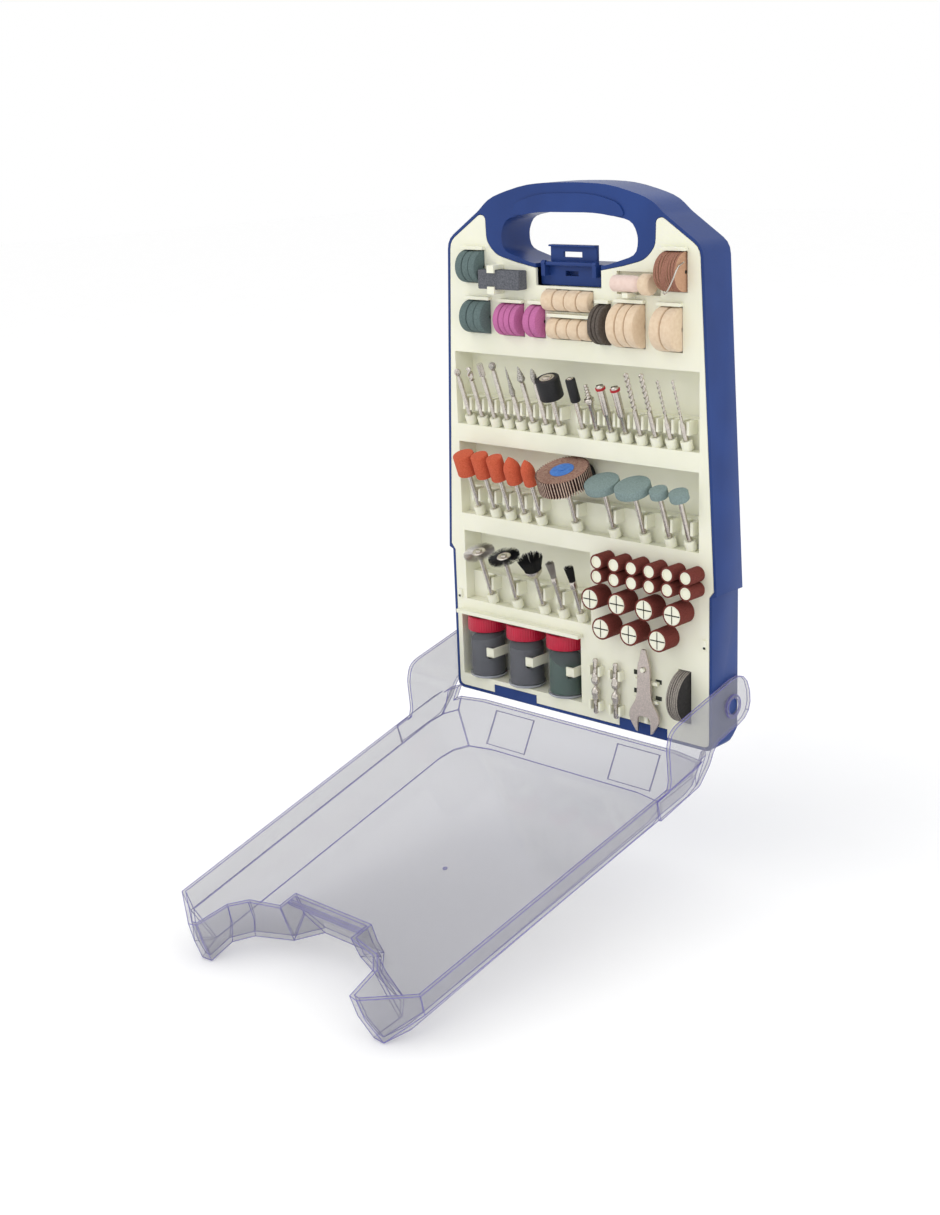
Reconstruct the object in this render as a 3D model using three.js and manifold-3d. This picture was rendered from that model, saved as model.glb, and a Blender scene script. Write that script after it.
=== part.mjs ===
// Rotary tool accessory case: a flat moulded case with a carrying handle, a cream tray that
// holds the accessories in sockets, pockets, posts and clips, a clear lid that swings down
// about two side pins, and a flip latch under the handle.
//
// Millimetres. While it is built, X runs to the case's right, Y to its back and Z up; Y = 0 is
// the front face of the tray and Z = 0 the underside of the case. The finished group is then
// lowered so that its origin is the middle of the handle's underside, where the case hangs.
import * as THREE from 'three';
import { mergeVertices } from 'three/addons/utils/BufferGeometryUtils.js';
import Module from 'manifold-3d';

const wasm = await Module();
wasm.setup();

// ---------------------------------------------------------------- driving dimensions
const GAP = 0.3; // clearance between pieces that touch
const CASE = {
  baseHalf: 105, stepOut: 3.2, taper: 9.7, // half width at the foot, the step above it, the taper
  stepZ: 96.6, shoulderZ: 299.5, topZ: 334.5, depth: 26.6, wall: 2.2, heelChamfer: 9,
};
const STEP_HALF = CASE.baseHalf + CASE.stepOut;
const SHOULDER_HALF = STEP_HALF - CASE.taper;
const HANDLE = { holeHalf: 53, floorZ: 286.7, underZ: 318, hornHalf: 71.6, hornZ: 317.3 };
const PIVOT = { y: 17.6, z: 25.3, bossR: 5, bossLength: 2.4 };
const LID = {
  openDeg: 104, depth: 30.4, creaseY: 14, wall: 2, floorIn: 20, archHalf: 29.5,
  earHalf: 15.5, earTopZ: 84, ringR: 7.3, ringRise: 1, // the ears are tongues round the pins
};
const EAR_INNER = CASE.baseHalf + 0.5;
const RIM_HALF = STEP_HALF + 0.7;
const LATCH = {
  half: 18, height: 11, thick: 2.2, blockHalf: 25.5, blockZ: 273.5, front: 5,
  axisY: 1.6, axisZ: 286.9, offset: 4, barrelR: 1.4, lip: 1.1, // the flap turns about its barrel
};
const TRAY = { plate: 2, wall: 1.4, bayDepth: 16, stepDepth: 8, stepHeight: 18, bayHalf: 95.5 };
const BIT = { leanDeg: 20, footY: 3, shankR: 1.6, socketR: 3.4, socketTop: 3.2, footRise: 3.2 };
const CLIP = { low: 6.5, high: 14.6, reach: 4.4, thick: 1.8 }; // fingers, above the foot
const BAYS = [
  { name: 'C', left: -96, right: 96, floorZ: 182.3, topZ: 229.2 },
  { name: 'D', left: -95.5, right: 95.5, floorZ: 122.7, topZ: 170.8 },
  { name: 'E', left: -94, right: 13, floorZ: 64, topZ: 111.2 },
];
const JAR = { radius: 12.6, left: -96.1, pitch: 34.5, baseZ: 11, height: 32, wall: 1.2, capHeight: 10 };
const JAR_X = [0, 1, 2].map((i) => JAR.left + JAR.radius + JAR.pitch * i);
const JAR_Y = CASE.depth - 6 - JAR.radius; // the jars' backs stay clear of the case's back wall
const CAP_RADIUS = JAR.radius + 0.5;

const rad = THREE.MathUtils.degToRad;
const HANG = { y: CASE.depth / 2, z: HANDLE.underZ };

// ---------------------------------------------------------------- materials
const finish = (color, roughness, metalness = 0, extra = {}) =>
  new THREE.MeshStandardMaterial({ color, roughness, metalness, ...extra });
const BLUE = finish(0x2d4687, 0.42);
const CREAM = finish(0xe0e0ce, 0.5);
const CLEAR = finish(0xc9cbe0, 0.08, 0, { transparent: true, opacity: 0.35 });
const STEEL = finish(0xb4aea6, 0.3, 1);
const WRENCH_STEEL = finish(0xb9aaa4, 0.45, 1);
const ORANGE_STONE = finish(0xd4603c, 0.95);
const GREY_STONE = finish(0x829b9b, 0.95);
const GREEN_DISC = finish(0x6e8282, 0.95);
const DARK_STONE = finish(0x5c6068, 0.95);
const PINK_STONE = finish(0xc96ba5, 0.9);
const FELT = finish(0xebd3b8, 1);
const PALE_FELT = finish(0xe8c8bc, 1);
const BROWN_PAPER = finish(0xbe9678, 0.95);
const DARK_RUBBER = finish(0x5a524c, 0.85);
const BLACK_RUBBER = finish(0x1c1c1e, 0.7);
const BLACK_PAPER = finish(0x2e2c2c, 0.95);
const FLAP_CLOTH = finish(0x6e4a3c, 0.95);
const WIRE = finish(0x9a9a98, 0.4, 1);
const BRISTLE = finish(0x141416, 0.6);
const CAP_RED = finish(0xbe2440, 0.35);
const JAR_CLEAR = finish(0xb8bcc4, 0.15, 0, { transparent: true, opacity: 0.5 });

// ---------------------------------------------------------------- solids
// A closed geometry as a solid: only positions are kept, shared points are merged, and the
// flat triangles that a lathe leaves on its axis are dropped.
function solid(geometry) {
  const bare = geometry.clone();
  bare.deleteAttribute('normal');
  bare.deleteAttribute('uv');
  const merged = mergeVertices(bare, 1e-4);
  const index = merged.index.array;
  const kept = [];
  for (let i = 0; i < index.length; i += 3) {
    const [a, b, c] = [index[i], index[i + 1], index[i + 2]];
    if (a !== b && b !== c && c !== a) kept.push(a, b, c);
  }
  return new wasm.Manifold(new wasm.Mesh({
    numProp: 3,
    vertProperties: new Float32Array(merged.attributes.position.array),
    triVerts: new Uint32Array(kept),
  }));
}

const joined = (solids) => solids.reduce((whole, next) => whole.add(next));
const cutBy = (body, cutters) => cutters.reduce((left, cutter) => left.subtract(cutter), body);

function geometryOf(body) {
  const mesh = body.getMesh();
  const geometry = new THREE.BufferGeometry();
  geometry.setAttribute('position', new THREE.BufferAttribute(mesh.vertProperties, 3));
  geometry.setIndex(new THREE.BufferAttribute(mesh.triVerts, 1));
  geometry.computeVertexNormals();
  return geometry;
}

const box = (x0, x1, y0, y1, z0, z1) => new THREE.BoxGeometry(x1 - x0, y1 - y0, z1 - z0)
  .translate((x0 + x1) / 2, (y0 + y1) / 2, (z0 + z1) / 2);

// A round piece turned about +Z from [radius, height] pairs, lowest first.
function turned(profile, sides = 8) {
  const points = profile.map(([r, h]) => new THREE.Vector2(r, h));
  return new THREE.LatheGeometry(points, sides).rotateX(Math.PI / 2);
}

// A plain round bar about +Z between two heights.
const bar = (radius, z0, z1, sides = 8) => turned([[0, z0], [radius, z0], [radius, z1], [0, z1]], sides);

// The same pieces laid along +X, or standing out of the tray along -Y.
const alongX = (geometry) => geometry.rotateY(Math.PI / 2);
const outOfTray = (geometry) => geometry.rotateX(Math.PI / 2);

// A closed outline of [x, z, trim] corners; trim is how far along its edges a corner is rounded.
function outline(corners) {
  const shape = new THREE.Shape();
  corners.forEach(([x, z, trim = 0], i) => {
    const here = new THREE.Vector2(x, z);
    const toward = (j) => {
      const [ox, oz] = corners[(j + corners.length) % corners.length];
      const way = new THREE.Vector2(ox, oz).sub(here);
      const reach = Math.min(trim, way.length() * 0.48);
      return here.clone().addScaledVector(way.normalize(), reach);
    };
    const start = toward(i - 1);
    if (i === 0) shape.moveTo(start.x, start.y);
    else shape.lineTo(start.x, start.y);
    if (trim > 0) {
      const end = toward(i + 1);
      shape.quadraticCurveTo(x, z, end.x, end.y);
    }
  });
  shape.closePath();
  return shape;
}

// Right-hand corners, from the bottom up, followed by their mirror images from the top down.
const mirrored = (corners) => [
  ...corners,
  ...corners.slice().reverse().map(([x, z, trim]) => [-x, z, trim]),
];

// The same corners moved inward by a distance, square to the edges; outward when negative.
function inset(corners, distance) {
  const count = corners.length;
  const normal = (a, b) => {
    const way = new THREE.Vector2(b[0] - a[0], b[1] - a[1]).normalize();
    return new THREE.Vector2(-way.y, way.x);
  };
  return corners.map((corner, i) => {
    const before = normal(corners[(i + count - 1) % count], corner);
    const after = normal(corner, corners[(i + 1) % count]);
    const middle = before.clone().add(after).normalize();
    const reach = distance / Math.max(middle.dot(after), 0.3);
    return [corner[0] + middle.x * reach, corner[1] + middle.y * reach, corner[2]];
  });
}

// A front-view outline as a plate between two depths.
function slab(corners, y0, y1, segments = 3) {
  return new THREE.ExtrudeGeometry(outline(corners), {
    depth: y1 - y0, bevelEnabled: false, curveSegments: segments,
  }).rotateX(Math.PI / 2).translate(0, y1, 0);
}

// A side-view outline of [y, z, trim] corners as a plate between two widths.
function sidePlate(corners, x0, x1, segments = 4) {
  return new THREE.ExtrudeGeometry(outline(corners), {
    depth: x1 - x0, bevelEnabled: false, curveSegments: segments,
  }).rotateX(Math.PI / 2).rotateZ(Math.PI / 2).translate(x0, 0, 0);
}

// A solid skinned over rings with equal numbers of points, closed by a cap at each end.
function skinned(rings) {
  const count = rings[0].length;
  const positions = rings.flat().flatMap((p) => [p.x, p.y, p.z]);
  const faces = [];
  for (let r = 0; r + 1 < rings.length; r += 1) {
    for (let i = 0; i < count; i += 1) {
      const next = (i + 1) % count;
      const [a, b, c, d] = [r * count + i, r * count + next, (r + 1) * count + next, (r + 1) * count + i];
      faces.push(a, b, c, a, c, d);
    }
  }
  const flat = (ring) => {
    const [o, u] = [ring[0], ring[1]];
    const normal = new THREE.Vector3();
    ring.forEach((p, i) => normal.add(new THREE.Vector3().crossVectors(p, ring[(i + 1) % count])));
    const ex = u.clone().sub(o).normalize();
    const ey = normal.normalize().cross(ex);
    return ring.map((p) => new THREE.Vector2(p.clone().sub(o).dot(ex), p.clone().sub(o).dot(ey)));
  };
  const last = (rings.length - 1) * count;
  THREE.ShapeUtils.triangulateShape(flat(rings[0]), []).forEach(([a, b, c]) => faces.push(a, c, b));
  THREE.ShapeUtils.triangulateShape(flat(rings[rings.length - 1]), [])
    .forEach(([a, b, c]) => faces.push(last + a, last + b, last + c));
  const geometry = new THREE.BufferGeometry();
  geometry.setAttribute('position', new THREE.Float32BufferAttribute(positions, 3));
  geometry.setIndex(faces);
  return geometry;
}

// ---------------------------------------------------------------- the scene graph
const root = new THREE.Group();
root.position.set(0, -HANG.y, -HANG.z);

function add(name, shape, material, parent = root) {
  const geometry = shape instanceof THREE.BufferGeometry ? geometryOf(solid(shape)) : geometryOf(shape);
  const mesh = new THREE.Mesh(geometry, material);
  mesh.name = name;
  parent.add(mesh);
  return mesh;
}

// ---------------------------------------------------------------- outlines of the case
const CASE_CORNERS = mirrored([
  [CASE.baseHalf, 0, 5],
  [CASE.baseHalf, CASE.stepZ],
  [STEP_HALF, CASE.stepZ + 1.5],
  [SHOULDER_HALF, CASE.shoulderZ, 6],
  [HANDLE.hornHalf, HANDLE.hornZ, 2],
  [62, 325.5, 9],
  [34, CASE.topZ - 1.2, 18],
  [12, CASE.topZ, 8],
]);

const HOLE_CORNERS = mirrored([
  [28, HANDLE.floorZ, 4],
  [HANDLE.holeHalf - 1, HANDLE.floorZ + 7, 6],
  [HANDLE.holeHalf, 304, 3],
  [49, 313, 6],
  [24, HANDLE.underZ - 0.7, 10],
]);

// The tray fills the case inside its rim; it stops at the handle's crescent and the latch
// block, and is notched where the case's lower rim has its two raised pads.
const NOTCH = { inner: 34.4, outer: 71.8, height: 5.5 };
const TRAY_CORNERS = mirrored([
  [NOTCH.inner, CASE.wall],
  [NOTCH.inner, CASE.wall + NOTCH.height],
  [NOTCH.outer, CASE.wall + NOTCH.height],
  [NOTCH.outer, CASE.wall],
  [CASE.baseHalf - CASE.wall, CASE.wall, 4],
  [CASE.baseHalf - CASE.wall, CASE.stepZ],
  [STEP_HALF - CASE.wall, CASE.stepZ + 4],
  [SHOULDER_HALF - CASE.wall, CASE.shoulderZ - 1, 5],
  [HANDLE.hornHalf - 1.5, HANDLE.hornZ - 1.8, 2.5],
  [66, HANDLE.hornZ - 3.5, 2],
  [65.5, 299, 4],
  [58, 291, 5],
  [42, 287, 4],
  [LATCH.blockHalf, 284],
  [LATCH.blockHalf, LATCH.blockZ, 1],
]);

// ---------------------------------------------------------------- case shell
function caseShell() {
  const back = CASE.depth;
  const body = solid(slab(CASE_CORNERS, 0, back));
  const hole = solid(slab(HOLE_CORNERS, -5, back + 5));
  // The chamfer of the heel, and the same plane moved inward, which bounds the hollow there.
  const heel = (inward) => {
    const cut = CASE.heelChamfer + inward;
    const side = [[back - cut, -1], [back + 1, -1], [back + 1, cut], [back, cut], [back - cut, 0]];
    return solid(sidePlate(side, -STEP_HALF - 9, STEP_HALF + 9));
  };
  const cavity = solid(slab(inset(TRAY_CORNERS, -GAP), -1, back - CASE.wall, 3))
    .subtract(heel(CASE.wall * Math.SQRT2));
  // The block under the handle: set back, with a seat for the latch's barrel along its top.
  const { blockHalf, blockZ, front, half, axisY, axisZ, offset, thick, barrelR } = LATCH;
  const blockFace = solid(box(-blockHalf, blockHalf, -1, front, blockZ, HANDLE.floorZ + 1));
  const seat = solid(box(
    -half - GAP, half + GAP, -1, axisY + offset + thick + 0.6, axisZ - barrelR - GAP, HANDLE.floorZ + 1,
  ));
  const cheeks = [-1, 1].map((side) => solid(alongX(bar(barrelR + 0.5, 0, 3))
    .translate(side * (half + GAP + 1.5) - 1.5, axisY, axisZ)));
  const cheekFeet = [-1, 1].map((side) => solid(box(-1.5, 1.5, axisY - barrelR, front + 1, blockZ + 6, axisZ)
    .translate(side * (half + GAP + 1.5), 0, 0)));
  const window = solid(box(-6, 4, -1, 9, 279.5, 282.5));
  const screwHole = solid(outOfTray(bar(1.1, -9, 1, 8)).translate(23.4, 0, 277.5));
  const grip = solid(slab(mirrored([
    [44, 315.5, 3], [40, 323, 5], [20, 328.2, 10],
  ]), -1, 0.4)).subtract(hole);
  const bosses = [-1, 1].map((side) => solid(alongX(bar(PIVOT.bossR, 0, PIVOT.bossLength + 1, 16))
    .rotateY(side > 0 ? 0 : Math.PI).translate(side * (CASE.baseHalf - 1), PIVOT.y, PIVOT.z)));
  const shell = cutBy(body, [cavity, hole, heel(0), blockFace, seat, window, screwHole]);
  return joined([shell, grip, ...bosses, ...cheeks, ...cheekFeet]);
}

// ---------------------------------------------------------------- accessories that stand in the bays
// Each stands on its shank in a socket and leans forward, held by a clip on the bay's step.
const lean = rad(BIT.leanDeg);
const shank = (top) => [[0, GAP], [BIT.shankR, GAP], [BIT.shankR, top]];

// A twisted cutter or drill: an oval section that turns as it climbs, ending in a point.
function twisted(radius, z0, z1, turns, steps, point) {
  const sides = 6;
  const ring = (z, angle, scale) => Array.from({ length: sides }, (_, i) => {
    const a = (2 * Math.PI * i) / sides;
    const x = radius * scale * Math.cos(a);
    const y = radius * scale * 0.62 * Math.sin(a);
    const [c, s] = [Math.cos(angle), Math.sin(angle)];
    return new THREE.Vector3(x * c - y * s, x * s + y * c, z);
  });
  const rings = Array.from({ length: steps + 1 }, (_, k) =>
    ring(z0 + ((z1 - z0) * k) / steps, (2 * Math.PI * turns * k) / steps, 1));
  rings.push(ring(z1 + point, 2 * Math.PI * turns, 0.15));
  return skinned(rings);
}

const burr = (profile) => (sides = 8) => solid(turned([...shank(profile[0][1]), ...profile], sides));

function drill(radius, length) {
  const flute = length * 0.46;
  const body = solid(turned([...shank(14), [radius, 15.5], [radius, flute], [0, flute]], 8));
  return body.add(solid(twisted(radius, flute - 1, length - 1.6, 2, 10, 1.6)));
}

function twistCutter() {
  const body = solid(turned([...shank(28), [1.3, 29], [1.3, 31], [0, 31]], 8));
  return body.add(solid(twisted(2.1, 30, 37.6, 0.6, 5, 0.9)));
}

function rubberDrum(radius, z0, z1) {
  const profile = [
    ...shank(z0), [radius - 0.5, z0], [radius, z0 + 0.5], [radius, z1 - 0.5], [radius - 0.6, z1],
  ];
  const screw = [[radius * 0.5, z1], [radius * 0.5, z1 + 0.7], [0, z1 + 0.7]];
  return solid(turned([...profile, ...screw], radius > 5 ? 14 : 10));
}

const screwMandrel = () => solid(turned([
  ...shank(20), [2.2, 21], [3.1, 23.5], [3.1, 24.5], [1.6, 25.2],
  [1.2, 28], [2, 29], [2.2, 31], [1.2, 33.5], [0, 34],
]));

const discMandrel = () => solid(turned([
  ...shank(13), [2.3, 15], [2.5, 31.5], [3.1, 31.8], [3.1, 33], [2.7, 33.2], [2.4, 34.4], [0, 34.8],
]));

// The rotary cutters of the upper bay, left to right, spaced in two even groups.
const CUTTERS = [
  ['ball_cutter', burr([[1.2, 29], [1.2, 32], [2, 33.4], [2.1, 34.4], [1.4, 35.8], [0, 36.3]])],
  ['twisted_cutter', twistCutter],
  ['cylinder_cutter', burr([[1.3, 31], [1.3, 33], [2, 34], [2, 41.4], [0, 41.4]])],
  ['round_burr', burr([[1.3, 36], [1.2, 38], [2.2, 39.4], [2.5, 40.8], [2, 42.4], [0, 43]])],
  ['needle_burr', burr([[1.2, 19], [1.8, 21.5], [2.1, 23.5], [1.2, 27], [0.9, 32], [0, 41.5]])],
  ['arrow_burr', burr([[1.3, 31], [2.6, 33.2], [2.4, 35], [0.9, 40], [0, 42.4]])],
  ['flame_burr', burr([[1.1, 31], [2, 34], [2.1, 36], [1.2, 39.6], [0, 41.4]])],
  ['drum_mandrel_large', () => rubberDrum(7.6, 22.5, 36.2)],
  ['drum_mandrel_small', () => rubberDrum(3.2, 21.5, 37)],
  ['screw_mandrel', screwMandrel],
  ['disc_mandrel_1', discMandrel],
  ['disc_mandrel_2', discMandrel],
  ['drill_1', () => drill(1.6, 44.8)],
  ['drill_2', () => drill(1.6, 45.4)],
  ['drill_3', () => drill(1, 42)],
  ['drill_4', () => drill(0.9, 43)],
];
const cutterX = (i) => (i < 8 ? -86.5 + 10.83 * i : 7.8 + 11.06 * (i - 8));
const gripOf = (name) => (name.startsWith('disc_mandrel') ? 2.6 : BIT.shankR);
const cutterMaterial = (name) => (name.startsWith('drum') ? BLACK_RUBBER : STEEL);

const headed = (z0, profile, sides) => () => solid(turned([...shank(z0), ...profile], sides));
const stoneRod = (r, z0, z1) => headed(z0, [
  [r - 0.4, z0 + 0.1], [r, z0 + 0.7], [r, z1 - 0.6], [r - 0.5, z1], [0, z1],
], 12);
const stoneDisc = (r, z0, z1) => headed(z0, [
  [r - 0.4, z0], [r, z0 + 0.5], [r, z1 - 0.5], [r - 0.5, z1], [0, z1],
], r > 8 ? 16 : 10);

// A flap wheel: slanted leaves of abrasive cloth round a core, with a raised centre disc.
const FLAP = { leaves: 36, coreR: 8, outerR: 17.3, z0: 29.5, z1: 40.5, slantDeg: 7, slitDeg: 2.2 };
function flapWheel() {
  const { leaves, coreR, outerR, z0, z1 } = FLAP;
  const at = (r, degrees) => [r * Math.cos(rad(degrees)), r * Math.sin(rad(degrees))];
  const corners = Array.from({ length: leaves }, (_, i) => {
    const start = (360 * i) / leaves;
    const end = (360 * (i + 1)) / leaves - FLAP.slitDeg;
    return [at(outerR, start), at(outerR, end), at(coreR + 1, end - FLAP.slantDeg + FLAP.slitDeg)];
  }).flat();
  const leavesBody = solid(new THREE.ExtrudeGeometry(outline(corners), {
    depth: z1 - z0, bevelEnabled: false,
  }).translate(0, 0, z0));
  const core = solid(turned([
    ...shank(z0 - 1), [3, z0 - 1], [coreR, z0 + 0.4], [coreR, z1 - 0.4],
    [5.6, z1 + 0.2], [5.2, z1 + 0.9], [0, z1 + 0.9],
  ], 12));
  return core.add(leavesBody);
}

const MOUNTED = [
  ['orange_stone_1', -81.8, ORANGE_STONE, stoneRod(7, 27.5, 42)],
  ['orange_stone_2', -67.6, ORANGE_STONE, stoneRod(5.7, 27, 43)],
  ['orange_stone_3', -54.8, ORANGE_STONE, stoneRod(5.4, 26.5, 42.6)],
  ['orange_stone_4', -41.6, ORANGE_STONE,
    headed(26, [[5.2, 26.1], [5.7, 26.8], [5.7, 33], [4.9, 38], [3.2, 42], [1.2, 44.2], [0, 44.4]], 12)],
  ['orange_stone_5', -28.4, ORANGE_STONE,
    headed(26, [[3.6, 26.1], [4.4, 29], [4.6, 33], [3.9, 38], [2.4, 41.8], [0.9, 43.6], [0, 43.8]], 12)],
  ['flap_wheel', 0.9, FLAP_CLOTH, flapWheel],
  ['grey_disc_1', 30.6, GREY_STONE, stoneDisc(11, 31, 36.5)],
  ['grey_disc_2', 54, GREY_STONE, stoneDisc(11.2, 31.5, 37)],
  ['grey_disc_3', 73, GREY_STONE, stoneDisc(5.6, 31, 36.5)],
  ['grey_disc_4', 87.6, GREY_STONE, stoneDisc(5.9, 31, 36.5)],
];

// Brushes: strands of three sides that narrow to their tips, rooted in a hub, cup or ferrule.
function strand(from, to, rootR) {
  const way = to.clone().sub(from).normalize();
  const side = Math.abs(way.z) < 0.9 ? new THREE.Vector3(0, 0, 1) : new THREE.Vector3(1, 0, 0);
  const u = side.clone().cross(way).normalize();
  const v = way.clone().cross(u);
  const root3 = [0, 1, 2].map((k) => from.clone()
    .addScaledVector(u, rootR * Math.cos((2 * Math.PI * k) / 3))
    .addScaledVector(v, rootR * Math.sin((2 * Math.PI * k) / 3)));
  const geometry = new THREE.BufferGeometry();
  geometry.setAttribute('position', new THREE.Float32BufferAttribute(
    [...root3, to].flatMap((p) => [p.x, p.y, p.z]), 3,
  ));
  geometry.setIndex([0, 2, 1, 0, 1, 3, 1, 2, 3, 2, 0, 3]);
  return solid(geometry);
}
const polar = (r, turn, z) => new THREE.Vector3(r * Math.cos(turn), r * Math.sin(turn), z);

// A wheel brush: a row of strands on each rim of a hub of as many facets.
function wheelBrush(radius, halfWidth, perRow = 20) {
  const hubR = 4.6;
  const z = 35.6;
  const strands = [];
  for (let i = 0; i < perRow * 2; i += 1) {
    const a = (Math.PI * (i + 0.5)) / perRow;
    const way = i % 2 ? 1 : -1;
    strands.push(strand(polar(hubR - 0.8, a, z + way * 0.45), polar(radius, a, z + way * halfWidth), 0.42));
  }
  const hub = solid(turned([
    ...shank(z - 1.2), [hubR, z - 1.2], [hubR, z + 1.2], [1.8, z + 1.2], [1.8, z + 2.2], [0, z + 2.2],
  ], perRow / 2));
  return joined([hub, ...strands]);
}

function cupBrush() {
  const [cupR, cupTop] = [5.8, 30.4];
  const strands = [];
  [[12, 2.6, 4.4], [16, 3.8, 6.6], [22, 5, 8.8]].forEach(([count, r0, r1], row) => {
    for (let i = 0; i < count; i += 1) {
      const a = (2 * Math.PI * (i + row / 3)) / count;
      strands.push(strand(polar(r0, a, cupTop - 0.8), polar(r1, a, 39.6 - row * 0.4), 0.45));
    }
  });
  const cup = solid(turned([...shank(25), [3.2, 25.2], [5.4, 28], [cupR, cupTop], [0, cupTop]], 12));
  return joined([cup, ...strands]);
}

function endBrush(z0, z1, r0, r1, rings) {
  const strands = rings.flatMap(([count, share]) => Array.from({ length: count }, (_, i) => {
    const a = (2 * Math.PI * (i + share)) / count;
    return strand(polar(r0 * share, a, z0 - 0.6), polar(r1 * share, a, z1 - share), 0.36);
  }));
  const ferrule = solid(turned([...shank(z0 - 6), [r0 + 0.35, z0 - 5.4], [r0 + 0.35, z0], [0, z0]], 8));
  return joined([ferrule, ...strands]);
}

// The fine wire of the steel end brush stands as one tuft.
const wireTuft = (z0, z1, r0, r1) => solid(turned([
  ...shank(z0 - 6), [r0 + 0.35, z0 - 5.4], [r0 + 0.35, z0],
  [r0 - 0.3, z0], [r1, z1 - 1], [r1 - 0.6, z1], [0, z1 - 0.4],
], 10));

const BRUSHES = [
  ['wire_wheel_brush', -72.8, WIRE, () => wheelBrush(10.6, 1.3)],
  ['nylon_wheel_brush', -50.9, BRISTLE, () => wheelBrush(10.6, 1.5)],
  ['cup_brush', -27.9, BRISTLE, cupBrush],
  ['wire_end_brush', -11.8, WIRE, () => wireTuft(27, 38.5, 1.7, 3)],
  ['nylon_end_brush', 3.4, BRISTLE, () => endBrush(27, 38, 2, 3.1, [[1, 0], [6, 0.5], [9, 0.9]])],
];

// Every standing accessory, with its foot's place.
const STANDING = [
  ...CUTTERS.map(([name, make], i) => (
    { name, make, x: cutterX(i), bay: BAYS[0], material: cutterMaterial(name) }
  )),
  ...MOUNTED.map(([name, x, material, make]) => ({ name, make, x, bay: BAYS[1], material })),
  ...BRUSHES.map(([name, x, material, make]) => ({ name, make, x, bay: BAYS[2], material })),
];
const footOf = (piece) => new THREE.Vector3(piece.x, BIT.footY, piece.bay.floorZ + BIT.footRise);
const stand = (geometry, piece) => {
  const foot = footOf(piece);
  return geometry.rotateX(lean).translate(foot.x, foot.y, foot.z);
};

// ---------------------------------------------------------------- discs that stand in pockets
// Each stack stands on edge in a pocket with its discs square to X. count discs of thickness
// t are fused face to face, with a narrow notch between neighbours.
const STACKS = [
  { name: 'grinding_discs_upper', x0: -84, x1: -67.8, z: 283.5, r: 10, count: 3, material: GREEN_DISC },
  { name: 'grinding_discs_lower', x0: -82, x1: -64, z: 252.5, r: 10.2, count: 3, material: GREEN_DISC },
  { name: 'pink_discs_1', x0: -53.5, x1: -36, z: 252, r: 10, count: 4, material: PINK_STONE },
  { name: 'pink_discs_2', x0: -29, x1: -19, z: 252, r: 10, count: 2, material: PINK_STONE },
  { name: 'small_felts_upper', x0: -17.5, x1: 19, z: 265.2, r: 6.4, count: 4, material: FELT },
  { name: 'small_felts_lower', x0: -14, x1: 19, z: 248.4, r: 6.4, count: 4, material: FELT },
  { name: 'rubber_discs', x0: 23.4, x1: 32, z: 252.7, r: 12, count: 3, material: DARK_RUBBER },
  { name: 'large_felts_1', x0: 37.5, x1: 57.5, z: 253, r: 12.9, count: 3, material: FELT },
  { name: 'large_felts_2', x0: 69, x1: 84, z: 252.5, r: 12.9, count: 2, material: FELT },
  { name: 'sanding_discs', x0: 72, x1: 87.5, z: 285.2, r: 11.3, count: 5, material: BROWN_PAPER },
  { name: 'cutting_discs', x0: 80.6, x1: 89.6, z: 31.5, r: 16.6, count: 4, material: BLACK_PAPER, y: 3.4 },
];

const DISC_SIDES = 14;
function discStack({ x0, x1, r, count }) {
  const groove = 0.5;
  const each = (x1 - x0 - groove * (count - 1)) / count;
  const profile = [[0, 0]];
  for (let i = 0; i < count; i += 1) {
    const start = i * (each + groove);
    profile.push([r, start], [r, start + each]);
    if (i + 1 < count) profile.push([r - 1.2, start + each + groove / 2]);
  }
  profile.push([0, x1 - x0]);
  return solid(alongX(turned(profile, DISC_SIDES)));
}

// ---------------------------------------------------------------- laid pieces
const STONE = { x0: -66.5, x1: -32.5, y0: -8, y1: -GAP, z0: 270.8, z1: 282.4 };
const CONE = { x: 38, axisY: -4.2, z: 277.6 };
const MANDREL_X = [18.4, 34.4];
const MANDREL = { y: -3.2, z0: 7.5, z1: 44 };
const WRENCH = { x: 57.5, y0: -5, y1: -3.2, z0: 3.5, z1: 57.5, jawZ: 17 };

const colletMandrel = () => {
  const half = (MANDREL.z1 - MANDREL.z0) / 2;
  const upper = [
    [1.3, 1], [2.5, 3], [2.8, 5.5], [2.2, 8.6], [1.7, 9.4], [1.7, half - 1], [1.2, half], [0, half],
  ];
  const lower = upper.map(([r, z]) => [r, -z]).reverse();
  return solid(turned([...lower, ...upper]));
};

// The open-ended wrench: one plate with a jaw at its foot, a round hole and a blade-like tip.
function wrench() {
  const c = WRENCH;
  const plate = solid(slab([
    [c.x - 6, c.z0, 1], [c.x - 11.6, c.z0 + 8, 4], [c.x - 11.2, c.jawZ, 5], [c.x - 5.4, c.jawZ + 8, 5],
    [c.x - 4.6, c.z0 + 43, 2], [c.x - 3.4, c.z0 + 46.5, 2], [c.x - 1.4, c.z1, 0.5],
    [c.x + 1.4, c.z1, 0.5], [c.x + 3.4, c.z0 + 46.5, 2], [c.x + 4.6, c.z0 + 43, 2],
    [c.x + 5.4, c.jawZ + 8, 5], [c.x + 11.2, c.jawZ, 5], [c.x + 11.6, c.z0 + 8, 4], [c.x + 6, c.z0, 1],
  ], c.y0, c.y1));
  const jaw = solid(slab([
    [c.x - 5, c.z0 - 3], [c.x + 5, c.z0 - 3], [c.x + 5, c.jawZ - 3, 3], [c.x - 5, c.jawZ - 3, 3],
  ], c.y0 - 1, c.y1 + 1));
  const hole = solid(outOfTray(bar(1.9, -1, 9, 10)).translate(c.x, c.y0 + 4, c.z0 + 41));
  return cutBy(plate, [jaw, hole]);
}

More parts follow.
